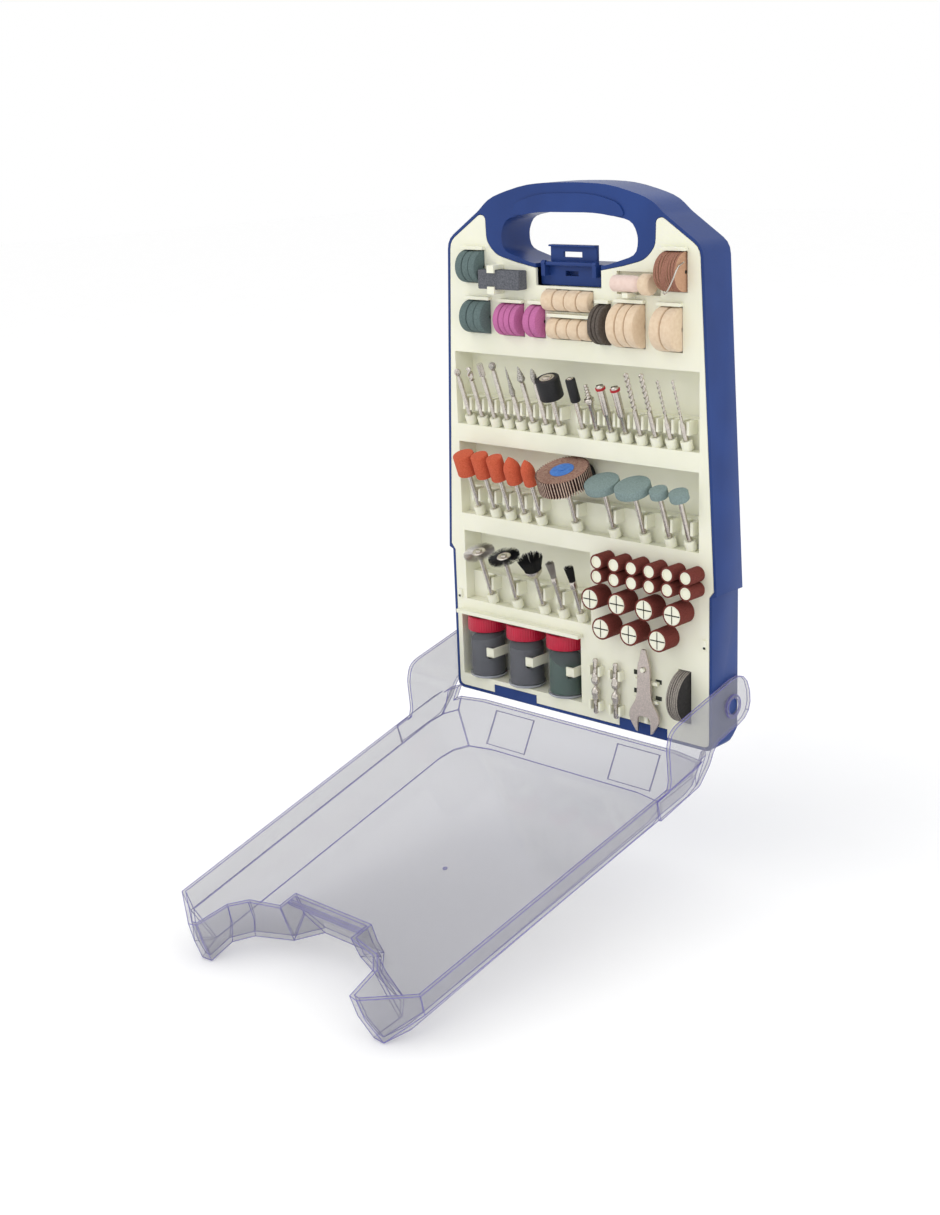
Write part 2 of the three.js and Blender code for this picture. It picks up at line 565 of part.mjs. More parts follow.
// ---------------------------------------------------------------- sleeves on the tray's posts
const SMALL_SLEEVE = { r: 4.6, bore: 3.5, length: 13 };
const LARGE_SLEEVE = { r: 6.9, bore: 5.7, length: 13 };
const smallSleeves = [110.2, 100.9].flatMap((z) => [0, 1, 2, 3, 4, 5].map((i) => [28.4 + 13.35 * i, z]));
const largeSleeves = [
  ...[0, 1, 2, 3].map((i) => [23 + 20.8 * i, 85.8]),
  ...[0, 1, 2].map((i) => [31.2 + 21.6 * i, 68.1]),
];

function sleeveOnPost({ r, bore, length }, [x, z], crossed) {
  const sides = crossed ? 10 : 8;
  const face = crossed ? length + 0.4 : length - 0.8;
  let piece = solid(turned([[0, -1], [r, -1], [r, length], [bore, length], [bore, face], [0, face]], sides));
  if (crossed) {
    const slot = (turn) => solid(box(-bore - 1, bore + 1, -0.45, 0.45, length - 0.1, length + 2).rotateZ(turn));
    piece = cutBy(piece, [slot(0), slot(Math.PI / 2)]);
  }
  return piece.transform(new THREE.Matrix4().makeRotationX(Math.PI / 2).setPosition(x, 0, z).elements);
}

// ---------------------------------------------------------------- tray
function tray() {
  const { plate, wall, bayDepth, stepDepth, stepHeight } = TRAY;
  const bodies = [solid(slab(TRAY_CORNERS, 0, plate, 3))];
  const hollows = [];
  const recess = (x0, x1, z0, z1, depth) => {
    bodies.push(solid(box(x0 - wall, x1 + wall, 0, depth + wall, z0 - wall, z1 + wall)));
    hollows.push(solid(box(x0, x1, -1, depth, z0, z1)));
  };
  BAYS.forEach((bay) => {
    recess(bay.left, bay.right, bay.floorZ, bay.topZ, stepDepth);
    recess(bay.left, bay.right, bay.floorZ + stepHeight, bay.topZ, bayDepth);
  });
  const jarBay = { left: JAR_X[0] - JAR.radius - 3, right: JAR_X[2] + JAR.radius + 6 };
  recess(jarBay.left, jarBay.right, JAR.baseZ - GAP, 54.4, JAR_Y + JAR.radius + 0.9);
  STACKS.forEach(({ x0, x1, z, r, y = 0 }) => {
    recess(x0 - GAP, x1 + GAP, z - r - GAP, z + r + GAP, y + r + GAP);
  });
  recess(CONE.x - 1, CONE.x + 31, CONE.z - 6.6, CONE.z + 6.6, 3);
  let body = cutBy(joined(bodies), hollows);

  // A socket for each foot, and a pair of clip fingers beside each shank.
  const fittings = STANDING.flatMap((piece) => {
    const foot = footOf(piece);
    const inner = gripOf(piece.name) + GAP;
    const [low, high] = [foot.z + CLIP.low, foot.z + CLIP.high];
    const finger = (x0) => solid(box(x0, x0 + CLIP.thick, -CLIP.reach, stepDepth + 0.6, low, high));
    const socket = turned([
      [0, -2.6], [BIT.socketR, -2.6], [BIT.socketR, BIT.socketTop],
      [BIT.shankR + GAP, BIT.socketTop], [BIT.shankR + GAP, 0], [0, 0],
    ], 6);
    return [solid(stand(socket, piece)), finger(foot.x + inner), finger(foot.x - inner - CLIP.thick)];
  });
  body = joined([body, ...fittings]);

  // The lip over the jars, and a strap beside each jar.
  const straps = [solid(box(jarBay.left, jarBay.right + 2, -5.5, 1, 54.6, 57))];
  JAR_X.forEach((x) => {
    const side = x + JAR.radius + 0.9;
    const depth = JAR_Y + JAR.radius + 1.2;
    const front = JAR_Y - JAR.radius - 2;
    straps.push(solid(box(side, side + 1.6, front, depth, 27.5, 33.5)));
    straps.push(solid(box(x + 4.5, side + 0.5, front, front + 1.4, 27.5, 33.5)));
  });
  // Clips for the stone, the felt points, the collet mandrels and the wrench.
  const middle = (STONE.x0 + STONE.x1) / 2 - 5;
  [[STONE.z0, -1], [STONE.z1, 1]].forEach(([z, way]) => {
    const [a, b] = [z + way * GAP, z + way * 3].sort((p, q) => p - q);
    straps.push(solid(box(middle - 2.8, middle + 2.8, STONE.y0 - 1.6, 1, a, b)));
    const [c, d] = [z - way * 1.6, z + way * 3].sort((p, q) => p - q);
    straps.push(solid(box(middle - 2.8, middle + 2.8, STONE.y0 - 1.6, STONE.y0 - GAP, c, d)));
  });
  straps.push(solid(box(CONE.x + 9, CONE.x + 13, -8, 5, CONE.z - 7.8, CONE.z - 5.1)));
  MANDREL_X.forEach((x) => {
    [13, 36].forEach((z) => {
      straps.push(solid(box(x - 4.6, x + 4.6, -5, 1, z - 3, z + 3)));
    });
  });
  const mandrelChannels = MANDREL_X.map((x) => solid(
    box(x - 2.8 - GAP, x + 2.8 + GAP, -20, MANDREL.y + 2.5, MANDREL.z0 - 1, MANDREL.z1 + 1),
  ));
  [24, 36].forEach((z) => {
    straps.push(solid(box(WRENCH.x - 9, WRENCH.x + 9, WRENCH.y1 + GAP, 1, z - 1, z + 1)));
  });
  straps.push(solid(box(WRENCH.x - 1.4, WRENCH.x + 1.4, WRENCH.y1 + GAP, 1, 9, 47)));
  // A small stop for the lid on each edge of the tray.
  [-1, 1].forEach((side) => {
    const x = side * (CASE.baseHalf - CASE.wall - 3.4);
    straps.push(solid(box(x - 1.6, x + 1.6, -1.2, 1, 64, 70)));
  });
  const pegs = solid(outOfTray(bar(1.5, -1, 6.4, 8)).translate(WRENCH.x, 0, WRENCH.z0 + 41));
  body = cutBy(joined([body, ...straps, pegs]), mandrelChannels);

  const sleeves = [
    ...smallSleeves.map((place) => sleeveOnPost(SMALL_SLEEVE, place, false)),
    ...largeSleeves.map((place) => sleeveOnPost(LARGE_SLEEVE, place, true)),
  ];
  return joined([body, ...sleeves]);
}

// ---------------------------------------------------------------- lid
// Built closed, as a tray open towards +Y, then turned about the pins to its open stop. Its
// walls stand nearly square from the rim to a crease and slope in from there to the floor.
// The near end is a slanted wall; the far end is arched round the handle and notched for the
// latch block, with a horn on each side.
const LID_LEVELS = [
  {
    y: -GAP, near: 45, half: RIM_HALF, shoulder: [SHOULDER_HALF + 0.6, CASE.shoulderZ + 4],
    arch: [[70, 322.5], [64, 321.5], [60.5, 300], [52, 291.5], [LID.archHalf, 286.5], [LID.archHalf, 274.3]],
  },
  {
    y: -LID.creaseY, near: 56.3, half: RIM_HALF - 1.6, shoulder: [SHOULDER_HALF - 1, CASE.shoulderZ + 3.4],
    arch: [
      [71.5, 321.5], [64.8, 320.6], [63.5, 299], [54, 290], [LID.archHalf + 1, 284.6], [LID.archHalf - 1, 272.4],
    ],
  },
  {
    y: -LID.depth, near: 71, half: RIM_HALF - LID.floorIn, shoulder: [SHOULDER_HALF - 16.5, CASE.shoulderZ + 3],
    arch: [[76, 317.5], [68, 317], [70, 299], [61, 288.5], [LID.archHalf + 6, 280], [LID.archHalf - 6, 266]],
  },
];
const lidCorners = ({ near, half, shoulder, arch }) => mirrored([
  [half - 28, near], [half - 9, near + 3], [half - 2, near + 12], [half, near + 24], shoulder, ...arch,
]);

function lidWalls() {
  const outer = LID_LEVELS.map((level) =>
    lidCorners(level).map(([x, z]) => new THREE.Vector3(x, level.y, z)));
  const shift = [1, 0.4 * LID.wall, LID.wall]; // the hollow opens above the rim
  const inner = LID_LEVELS.map((level, i) => inset(lidCorners(level), LID.wall)
    .map(([x, z]) => new THREE.Vector3(x, level.y + shift[i], z)));
  return solid(skinned(outer)).subtract(solid(skinned(inner)));
}

// An ear: a tongue round the pin, with a raised ring, that runs up the case's side to the rim.
function ear(side) {
  const { earHalf, earTopZ, ringR, ringRise, creaseY } = LID;
  const [front, back, foot] = [PIVOT.y - earHalf + 0.8, PIVOT.y + earHalf + 0.8, PIVOT.z - earHalf - 3.2];
  const outerX = EAR_INNER + LID.wall + 0.2;
  const plate = solid(sidePlate([
    [front, foot, earHalf], [back, foot, earHalf], [back, earTopZ, 8], [back - 10, earTopZ + 5.4, 3],
    [4, earTopZ + 8.6, 2], [-1, CASE.stepZ - 1], [-1, CASE.stepZ + 11], [-creaseY, CASE.stepZ + 11],
    [-creaseY, 68, 2], [-6, 55, 3], [0, 50, 3], [front, 44, 4],
  ], EAR_INNER, outerX, 4));
  const ring = solid(alongX(bar(ringR, outerX - 1, outerX + ringRise, 16)).translate(0, PIVOT.y, PIVOT.z));
  const eye = solid(alongX(bar(PIVOT.bossR + GAP, EAR_INNER - 3, outerX + 3, 16)).translate(0, PIVOT.y, PIVOT.z));
  const whole = plate.add(ring).subtract(eye);
  return side > 0 ? whole : whole.mirror([1, 0, 0]);
}

function lid() {
  const [rim, crease, floor] = LID_LEVELS;
  // The near wall starts short of the rim, and carries two raised pads on its slope.
  const nearLip = solid(box(-RIM_HALF + 8, RIM_HALF - 8, -7, 2, 30, 62));
  const slope = new THREE.Vector2(floor.y - crease.y, floor.near - crease.near).normalize();
  const out = new THREE.Vector2(-slope.y, slope.x);
  const padCorner = (along, rise) => {
    const p = new THREE.Vector2(crease.y, crease.near).addScaledVector(slope, along).addScaledVector(out, rise);
    return [p.x, p.y];
  };
  const padSide = [padCorner(-4, -1), padCorner(19, -1), padCorner(19, 0.8), padCorner(-4, 0.8)];
  const raised = solid(sidePlate(padSide, 35, 68));
  const catchBar = solid(box(-LID.archHalf - 1, LID.archHalf + 1, -2.1, -0.4, 277.6, 280));
  const swing = new THREE.Matrix4()
    .makeTranslation(0, PIVOT.y, PIVOT.z)
    .multiply(new THREE.Matrix4().makeRotationX(rad(LID.openDeg)))
    .multiply(new THREE.Matrix4().makeTranslation(0, -PIVOT.y, -PIVOT.z));
  const walls = lidWalls().subtract(nearLip);
  return joined([walls, ear(1), ear(-1), raised, raised.mirror([1, 0, 0]), catchBar]).transform(swing.elements);
}

// ---------------------------------------------------------------- latch
// Flipped up, as when the lid is open. It turns forward and down about its barrel, until its
// lip lies under the lid's catch bar.
function latch() {
  const { half, height, thick, axisY, axisZ, offset, barrelR, lip } = LATCH;
  const plateY = axisY + offset;
  const barrel = solid(alongX(bar(barrelR, -half, half)).translate(0, axisY, axisZ));
  const web = solid(box(-half, half, axisY, plateY + thick, axisZ - barrelR + 0.2, axisZ + barrelR - 0.3));
  const plate = solid(box(-half, half, plateY, plateY + thick, axisZ - barrelR + 0.2, axisZ + height));
  const hook = solid(box(-half, half, axisY + 1.8, plateY + thick, axisZ + height - lip, axisZ + height));
  const slot = solid(box(-8, 6.5, -2, 12, axisZ + 3.6, axisZ + 6.8));
  return joined([barrel, web, plate, hook]).subtract(slot);
}

// ---------------------------------------------------------------- assembly
add('case_shell', caseShell(), BLUE);
add('storage_tray', tray(), CREAM);
add('clear_lid', lid(), CLEAR);
add('latch', latch(), BLUE);

STANDING.forEach((piece) => {
  const foot = footOf(piece);
  const mesh = add(piece.name, piece.make(), piece.material);
  mesh.rotation.x = lean;
  mesh.position.copy(foot);
});

STACKS.forEach((stack) => {
  add(stack.name, discStack(stack), stack.material).position.set(stack.x0, stack.y ?? 0, stack.z);
});

add('dressing_stone', box(STONE.x0, STONE.x1, STONE.y0, STONE.y1, STONE.z0, STONE.z1), DARK_STONE);

const feltCone = turned([[0, 0], [4.2, 0], [4.8, 0.6], [4.8, 15], [3.6, 20.2], [0, 20.2]], 12);
const feltBob = turned([[0, 0], [5.2, 0], [6.2, 1], [6.2, 6], [5.2, 7.5], [0, 7.5]], 12);
add('felt_cone', alongX(feltCone), PALE_FELT).position.set(CONE.x, CONE.axisY, CONE.z);
add('felt_bob', alongX(feltBob), FELT).position.set(CONE.x + 21, CONE.axisY, CONE.z);

MANDREL_X.forEach((x, i) => {
  add(`collet_mandrel_${i + 1}`, colletMandrel(), STEEL)
    .position.set(x, MANDREL.y, (MANDREL.z0 + MANDREL.z1) / 2);
});
add('open_ended_wrench', wrench(), WRENCH_STEEL);

const jarProfile = [
  [0, 0], [JAR.radius - 1, 0], [JAR.radius, 1], [JAR.radius, JAR.height - 1],
  [JAR.radius - 1.5, JAR.height], [JAR.radius - 1.5, JAR.height + 6],
  [JAR.radius - 1.5 - JAR.wall, JAR.height + 6], [JAR.radius - 1.5 - JAR.wall, JAR.height],
  [JAR.radius - JAR.wall, JAR.height - 1.5], [JAR.radius - JAR.wall, JAR.wall], [0, JAR.wall],
];
const capProfile = [
  [0, 8.3], [JAR.radius - 1.5 + GAP, 8.3], [JAR.radius - 1.5 + GAP, 0.4], [CAP_RADIUS, 0.4],
  [CAP_RADIUS, 9.2], [CAP_RADIUS - 0.9, JAR.capHeight], [0, JAR.capHeight],
];
JAR_X.forEach((x, i) => {
  add(`jar_${i + 1}`, turned(jarProfile, 14), JAR_CLEAR).position.set(x, JAR_Y, JAR.baseZ);
  add(`jar_cap_${i + 1}`, turned(capProfile, 14), CAP_RED).position.set(x, JAR_Y, JAR.baseZ + JAR.height);
});

export default root;
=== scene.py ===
# %% [markdown]
# # An open case of rotary tool accessories
# The case hangs by its handle with its clear lid swung down. A cream tray holds cutters,
# drills, mounted stones, brushes, discs, felts, sanding sleeves, jars and a wrench. The
# construction is loaded first. It gives every place and size, so that each piece made here
# can be laid over the solid it stands for, and rides on the same moving body.

# %% Load the construction
import math

import bmesh
import bpy
import numpy as np
from mathutils import Matrix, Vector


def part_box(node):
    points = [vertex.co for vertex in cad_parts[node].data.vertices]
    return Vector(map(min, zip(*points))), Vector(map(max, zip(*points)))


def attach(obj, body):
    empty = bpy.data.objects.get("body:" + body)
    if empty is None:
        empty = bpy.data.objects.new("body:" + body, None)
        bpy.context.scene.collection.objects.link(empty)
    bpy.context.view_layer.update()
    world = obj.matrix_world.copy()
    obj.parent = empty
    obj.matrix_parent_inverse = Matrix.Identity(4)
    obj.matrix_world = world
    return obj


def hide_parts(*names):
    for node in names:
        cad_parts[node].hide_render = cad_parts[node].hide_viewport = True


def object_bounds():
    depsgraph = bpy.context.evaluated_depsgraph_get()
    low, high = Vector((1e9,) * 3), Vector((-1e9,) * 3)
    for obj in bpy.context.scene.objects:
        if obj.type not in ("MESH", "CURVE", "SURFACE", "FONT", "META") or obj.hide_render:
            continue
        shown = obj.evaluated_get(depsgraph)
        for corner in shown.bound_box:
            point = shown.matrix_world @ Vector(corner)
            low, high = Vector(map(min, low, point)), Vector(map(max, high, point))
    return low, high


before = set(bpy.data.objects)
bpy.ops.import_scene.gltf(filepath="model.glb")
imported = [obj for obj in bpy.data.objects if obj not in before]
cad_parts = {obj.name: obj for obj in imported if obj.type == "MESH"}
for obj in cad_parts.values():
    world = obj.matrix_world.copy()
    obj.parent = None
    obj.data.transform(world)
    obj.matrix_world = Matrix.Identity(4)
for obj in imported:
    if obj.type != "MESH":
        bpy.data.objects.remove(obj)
cad_low, cad_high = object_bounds()
MM = 0.001
HANG = np.array([0.0, 13.3, 318.0])  # the case's own origin, below and before the handle's


def row(points):
    """Case millimetres (X right, Y back, Z up from the foot) to metres from the handle."""
    return (np.asarray(points, float) - HANG) * MM


# %% [markdown]
# ## The camera
# It stands to the right of the case, a little above its foot, and looks back and slightly
# down. A long lens keeps the sides of the case nearly parallel.

# %% Camera
AZIMUTH, ELEVATION, ROLL = map(math.radians, (43.639, 16.077, -2.232))
EYE = np.array([0.66709, -0.80894, 0.05673])
back = np.array([
    math.sin(AZIMUTH) * math.cos(ELEVATION),
    -math.cos(AZIMUTH) * math.cos(ELEVATION),
    math.sin(ELEVATION),
])
level = np.cross(-back, [0.0, 0.0, 1.0])
level /= np.linalg.norm(level)
lift = np.cross(level, -back)
right = level * math.cos(ROLL) + lift * math.sin(ROLL)
up = -level * math.sin(ROLL) + lift * math.cos(ROLL)

camera = bpy.data.objects.new("camera", bpy.data.cameras.new("camera"))
bpy.context.scene.collection.objects.link(camera)
bpy.context.scene.camera = camera
camera.data.sensor_fit = "HORIZONTAL"
camera.data.sensor_width = 36.0
camera.data.lens = 65.41
turn = np.eye(4)
turn[:3, 0], turn[:3, 1], turn[:3, 2], turn[:3, 3] = right, up, back, EYE
camera.matrix_world = Matrix(turn.tolist())
print("camera", round(np.linalg.norm(EYE), 3), "m from the handle")

# %% [markdown]
# ## Light and floor
# A product of many small shiny pieces wants big, soft lights: a bright, even sky all round,
# a large panel above in front, and a weaker one on the right that lifts the blue side. The
# floor lies just under the lowest point of the lid and is nearly white.

# %% Sky, panels and floor
scene = bpy.context.scene
scene.view_settings.view_transform = "Standard"
scene.world = scene.world or bpy.data.worlds.new("sky")
scene.world.use_nodes = True
sky = scene.world.node_tree.nodes["Background"]
sky.inputs["Color"].default_value = (1.0, 1.0, 1.0, 1.0)
sky.inputs["Strength"].default_value = 1.0


def panel(name, place, target, size, watts):
    """A square area light at a place, facing a target."""
    light = bpy.data.lights.new(name, "AREA")
    light.shape, light.size, light.energy = "SQUARE", size, watts
    lamp = bpy.data.objects.new(name, light)
    scene.collection.objects.link(lamp)
    away = np.subtract(place, target)
    away /= np.linalg.norm(away)
    side = np.cross([0.0, 0.0, 1.0], away)
    side /= np.linalg.norm(side)
    face = np.eye(4)
    face[:3, 0], face[:3, 1], face[:3, 2], face[:3, 3] = side, np.cross(away, side), away, place
    lamp.matrix_world = Matrix(face.tolist())
    return lamp


MIDDLE = (0.0, -0.08, -0.2)
panel("panel_above", (-0.6, -1.0, 1.1), MIDDLE, 1.3, 5.0)
panel("panel_right", (1.5, -0.3, 0.35), MIDDLE, 1.0, 3.0)

floor_z = cad_low[2] - 0.0006
floor_mesh = bpy.data.meshes.new("floor")
floor_mesh.from_pydata(
    [(-6, -6, floor_z), (6, -6, floor_z), (6, 6, floor_z), (-6, 6, floor_z)], [], [(0, 1, 2, 3)]
)
floor = bpy.data.objects.new("floor", floor_mesh)
scene.collection.objects.link(floor)
print("floor at", round(floor_z, 4))

# %% [markdown]
# ## Materials
# A material starts from what the real one is and how its surface was made. Colours are
# written as sRGB hex and turned to linear light by one function. One helper adds a node with
# its settings and links. Patterns read Object coordinates in metres, so a scale is one over
# a real size.


# %% Colour and node helpers
def linear(code):
    """An sRGB hex colour as linear RGBA: each channel c becomes ((c + 0.055) / 1.055) ** 2.4."""
    channels = np.array([int(code[i:i + 2], 16) for i in (1, 3, 5)]) / 255
    low = channels / 12.92
    high = ((channels + 0.055) / 1.055) ** 2.4
    return (*np.where(channels <= 0.04045, low, high).tolist(), 1.0)


def add_node(tree, kind, settings=None, **links):
    """Adds a node; settings are its properties or input values, links join other outputs to it."""
    node = tree.nodes.new(kind)
    for name, value in (settings or {}).items():
        if name in node.inputs:
            node.inputs[name].default_value = value
        else:
            setattr(node, name, value)
    for name, output in links.items():
        tree.links.new(output, node.inputs[name.replace("_", " ")])
    return node


def two_tone(tree, shader, place, light, dark, size_mm, detail, limits):
    """Mixes two colours by noise whose clumps are about size_mm across. Noise below the first
    limit is dark, and above the second light."""
    noise = add_node(
        tree, "ShaderNodeTexNoise", {"Scale": 1 / (size_mm * MM), "Detail": detail}, Vector=place
    )
    ramp = add_node(tree, "ShaderNodeValToRGB", Fac=noise.outputs["Fac"])
    for element, limit, colour in zip(ramp.color_ramp.elements, limits, (dark, light)):
        element.position, element.color = limit, linear(colour)
    tree.links.new(ramp.outputs["Color"], shader.inputs["Base Color"])


def rough_skin(tree, shader, place, size_mm, depth_mm, detail=4.0):
    """A bump of noise with clumps size_mm across, standing depth_mm proud."""
    noise = add_node(
        tree, "ShaderNodeTexNoise", {"Scale": 1 / (size_mm * MM), "Detail": detail}, Vector=place
    )
    bump = add_node(
        tree, "ShaderNodeBump", {"Distance": depth_mm * MM, "Strength": 1.0},
        Height=noise.outputs["Fac"],
    )
    tree.links.new(bump.outputs["Normal"], shader.inputs["Normal"])


def surface(name, tones, clumps, skin, **sockets):
    """A material of two tones in clumps under a rough skin. Numbers go straight on the
    shader's own sockets; an underscore stands for a space."""
    material = bpy.data.materials.new(name)
    material.use_nodes = True
    tree = material.node_tree
    shader = tree.nodes["Principled BSDF"]
    place = add_node(tree, "ShaderNodeTexCoord").outputs["Object"]
    for socket, value in sockets.items():
        shader.inputs[socket.replace("_", " ")].default_value = value
    two_tone(tree, shader, place, *tones, *clumps)
    rough_skin(tree, shader, place, *skin)
    return material


# %% [markdown]
# ### Plastics
# The shell is ABS moulded against a spark-eroded steel face, which leaves a fine, dull grain
# that spreads highlights. The tray is polypropylene: waxy, slightly see-through, so light
# bleeds a little under its skin. The lid and the jars are clear polystyrene. Clear plastic
# gathers light at its corners, where it looks violet; that light is painted on the corners
# with a finish of its own.


# %% Moulded blue, cream and red, and clear
EVEN = (0.3, 0.7)  # limits that give both tones an even share


def moulded_blue():
    """ABS, spark textured: even colour, dull sheen, grain about 0.5 mm."""
    return surface(
        "moulded ABS, blue", ("#25407E", "#213972"), (35, 2.0, EVEN), (0.5, 0.03),
        Roughness=0.36, IOR=1.53, Specular_IOR_Level=0.2,
    )


def moulded_cream():
    """Polypropylene: satin, a little light under the skin."""
    return surface(
        "moulded polypropylene, cream", ("#ECEBD9", "#E6E6D2"), (30, 2.0, EVEN), (1.2, 0.02),
        Roughness=0.42, IOR=1.49, Subsurface_Weight=0.18,
        Subsurface_Radius=(1.0, 1.0, 0.55), Subsurface_Scale=0.0012,
    )


def moulded_red():
    """Polystyrene, polished mould: glossy crimson."""
    return surface(
        "moulded polystyrene, crimson", ("#BE1438", "#AE1032"), (8, 2.0, EVEN), (0.8, 0.01),
        Roughness=0.28, IOR=1.59, Specular_IOR_Level=0.3,
    )


def clear_plastic(name, tint, roughness, alpha):
    """Clear polystyrene as a thin grey film: mostly see-through, with a glossy face."""
    return surface(
        name, (tint, tint), (60, 1.0, EVEN), (25.0, 0.05, 1.0),
        Roughness=roughness, IOR=1.59, Alpha=alpha, Specular_IOR_Level=0.5,
    )


BLUE = moulded_blue()
CREAM = moulded_cream()
CRIMSON = moulded_red()
CLEAR = clear_plastic("moulded polystyrene, clear", "#9595A0", 0.06, 0.31)
# Painted light: the violet glow that clear plastic shows along its corners.
PAINTED_CORNER_LIGHT = clear_plastic("painted corner light on clear polystyrene", "#7A74BC", 0.1, 0.6)
JAR_CLEAR = clear_plastic("blown polystyrene, clear", "#B9BCC4", 0.08, 0.09)
JAR_EDGE = clear_plastic("blown polystyrene, clear rim", "#B4B8C2", 0.08, 0.6)
print("plastics:", BLUE.name, "/", CREAM.name, "/", CRIMSON.name, "/", CLEAR.name)

# %% [markdown]
# ### Metals, stones, felts and papers
# Shanks are ground steel: fine rings round the bar blur the highlight. Bonded stones are
# grains of abrasive in resin, so each is two close colours in grit-sized clumps over a
# coarse bump. Felt is pressed wool with a short fuzz. Sleeves and discs are abrasive on
# paper.


# %% Metals
def ground_steel(name, colour, roughness, grain_mm):
    """Ground or stamped steel: a metal with a slightly uneven, streaked polish."""
    return surface(
        name, (colour, "#AAA49D"), (grain_mm, 4.0, (0.1, 0.75)), (grain_mm, 0.003),
        Metallic=1.0, Roughness=roughness,
    )


def grit_coated_steel():
    """Steel plated with diamond grit: dull, sparkling, grains about 0.3 mm."""
    return surface(
        "diamond-plated steel", ("#D8D4CC", "#6F6B66"), (0.35, 2.0, (0.4, 0.6)), (0.3, 0.12),
        Metallic=1.0, Roughness=0.42,
    )


# %% Stones, felts, rubbers and papers
def bonded_stone(name, light, dark, grit_mm, depth_mm=0.12):
    """Abrasive grains in resin: two tones in clumps of grit_mm, matt and rough."""
    return surface(
        name, (light, dark), (grit_mm, 5.0, EVEN), (grit_mm, depth_mm),
        Roughness=0.92, Specular_IOR_Level=0.25,
    )


def pressed_felt(name, light, dark):
    """Pressed wool: soft mottle, short fuzz that catches light at the edge."""
    return surface(
        name, (light, dark), (2.4, 5.0, (0.25, 0.75)), (0.7, 0.16),
        Roughness=0.95, Sheen_Weight=0.35, Specular_IOR_Level=0.15,
    )


def matt(name, light, dark, grain_mm, roughness, depth_mm=0.05):
    """Rubber, paper or nylon: a plain dull face with a small grain."""
    return surface(
        name, (light, dark), (grain_mm, 3.0, EVEN), (grain_mm, depth_mm),
        Roughness=roughness, Specular_IOR_Level=0.35,
    )


STEEL = ground_steel("ground tool steel", "#D2CBC2", 0.24, 1.5)
WRENCH_STEEL = ground_steel("stamped steel, tumbled", "#D6C9C2", 0.38, 0.9)
WIRE_STEEL = ground_steel("drawn steel wire", "#B8B6B2", 0.35, 0.6)
GRIT_STEEL = grit_coated_steel()
ORANGE_STONE = bonded_stone("bonded aluminium oxide, orange", "#CC6447", "#B95238", 0.9)
GREY_STONE = bonded_stone("bonded silicon carbide, grey-green", "#879997", "#728381", 0.8)
GREEN_DISC = bonded_stone("pressed silicon carbide disc", "#677877", "#566665", 0.8, 0.06)
DARK_STONE = bonded_stone("dressing stone, dark grey", "#6C6E74", "#4E5056", 0.9)
PINK_STONE = bonded_stone("bonded aluminium oxide, pink", "#C474A4", "#B26394", 0.8, 0.06)
RUBBER_DISC = bonded_stone("abrasive rubber, brown-grey", "#665D56", "#4E4741", 1.2, 0.06)
FELT = pressed_felt("pressed wool felt, natural", "#E2CDB2", "#D6BD9F")
PALE_FELT = pressed_felt("pressed wool felt, pale pink", "#E9D3C8", "#E0C6BA")
BLACK_RUBBER = matt("black rubber drum", "#232326", "#101012", 0.5, 0.55)
SLEEVE_PAPER = matt("aluminium oxide paper, maroon", "#7A3830", "#572019", 0.5, 0.85, 0.08)
TAN_PAPER = matt("garnet paper, face", "#C9A184", "#B5896C", 0.7, 0.9)
BROWN_PAPER = matt("garnet paper, edge", "#A27462", "#835546", 0.7, 0.9)
BLACK_DISC = matt("resin cut-off disc", "#3A3838", "#232222", 0.8, 0.9)
DISC_EDGE = matt("resin cut-off disc, ground edge", "#A59E95", "#6E6862", 0.6, 0.9)
FLAP_CLOTH = matt("abrasive cloth, leaf edge", "#CDB6A6", "#A88C7C", 1.2, 0.9)
FLAP_CORE = matt("abrasive cloth, packed core", "#4A2C28", "#341E1C", 1.2, 0.9)
FLAP_SIDE = matt("abrasive cloth, glued side", "#A98A78", "#8A6458", 1.6, 0.9, 0.1)
HUB_BLUE = matt("printed paper washer, blue", "#4A80CC", "#3467B0", 1.5, 0.6)
BRISTLE = matt("nylon bristle, black", "#1C1C1E", "#0E0E10", 1.0, 0.5)
RED_FIBRE = matt("fibre washer, red", "#C23038", "#9E2028", 0.8, 0.6)
DARK_POWDER = matt("grinding paste, dark grey", "#43444A", "#333439", 1.5, 0.7, 0.1)
GREEN_POWDER = matt("polishing paste, dark green", "#0F4A30", "#0A3424", 1.5, 0.6, 0.1)
# Painted shade: a dark matt finish laid in slots, splits and holes, where shade falls.
SHADOW = matt("painted shade in slots and openings", "#3E4038", "#2C2E28", 1.0, 0.9)
floor_mesh.materials.append(matt("matt white paper", "#FFFFFF", "#FEFEFE", 60.0, 0.95, 0.0))
print(len(bpy.data.materials), "finishes")

# %% [markdown]
# ## Surfaces from arrays
# Each new shape is a grid of points worked out at once by numpy. Its rows run along the
# shape and its columns close round it. A piece joins several grids into one mesh, merges the
# points that coincide, such as a pole, and may have its sharp rims rounded by a bevel.


# %% Grids, lathes and prisms
def grid_faces(rows, columns):
    """Quads between neighbouring points of a grid whose last column meets its first."""
    r = np.arange(rows - 1)[:, None]
    c = np.arange(columns)[None, :]
    c1 = (c + 1) % columns
    quads = np.stack(
        [r * columns + c, r * columns + c1, (r + 1) * columns + c1, (r + 1) * columns + c], axis=-1
    )
    return quads.reshape(-1, 4)


def grid(points, finish=0):
    """A part from an array of points shaped (rows, columns, 3). A part is its points, its
    faces and the number of its finish."""
    return points.reshape(-1, 3), grid_faces(*points.shape[:2]), finish


def repeated(faces, points_each, count):
    """The faces of one shape, repeated for count shapes of points_each points."""
    starts = points_each * np.arange(count)
    return (faces[None] + starts[:, None, None]).reshape(-1, 4)


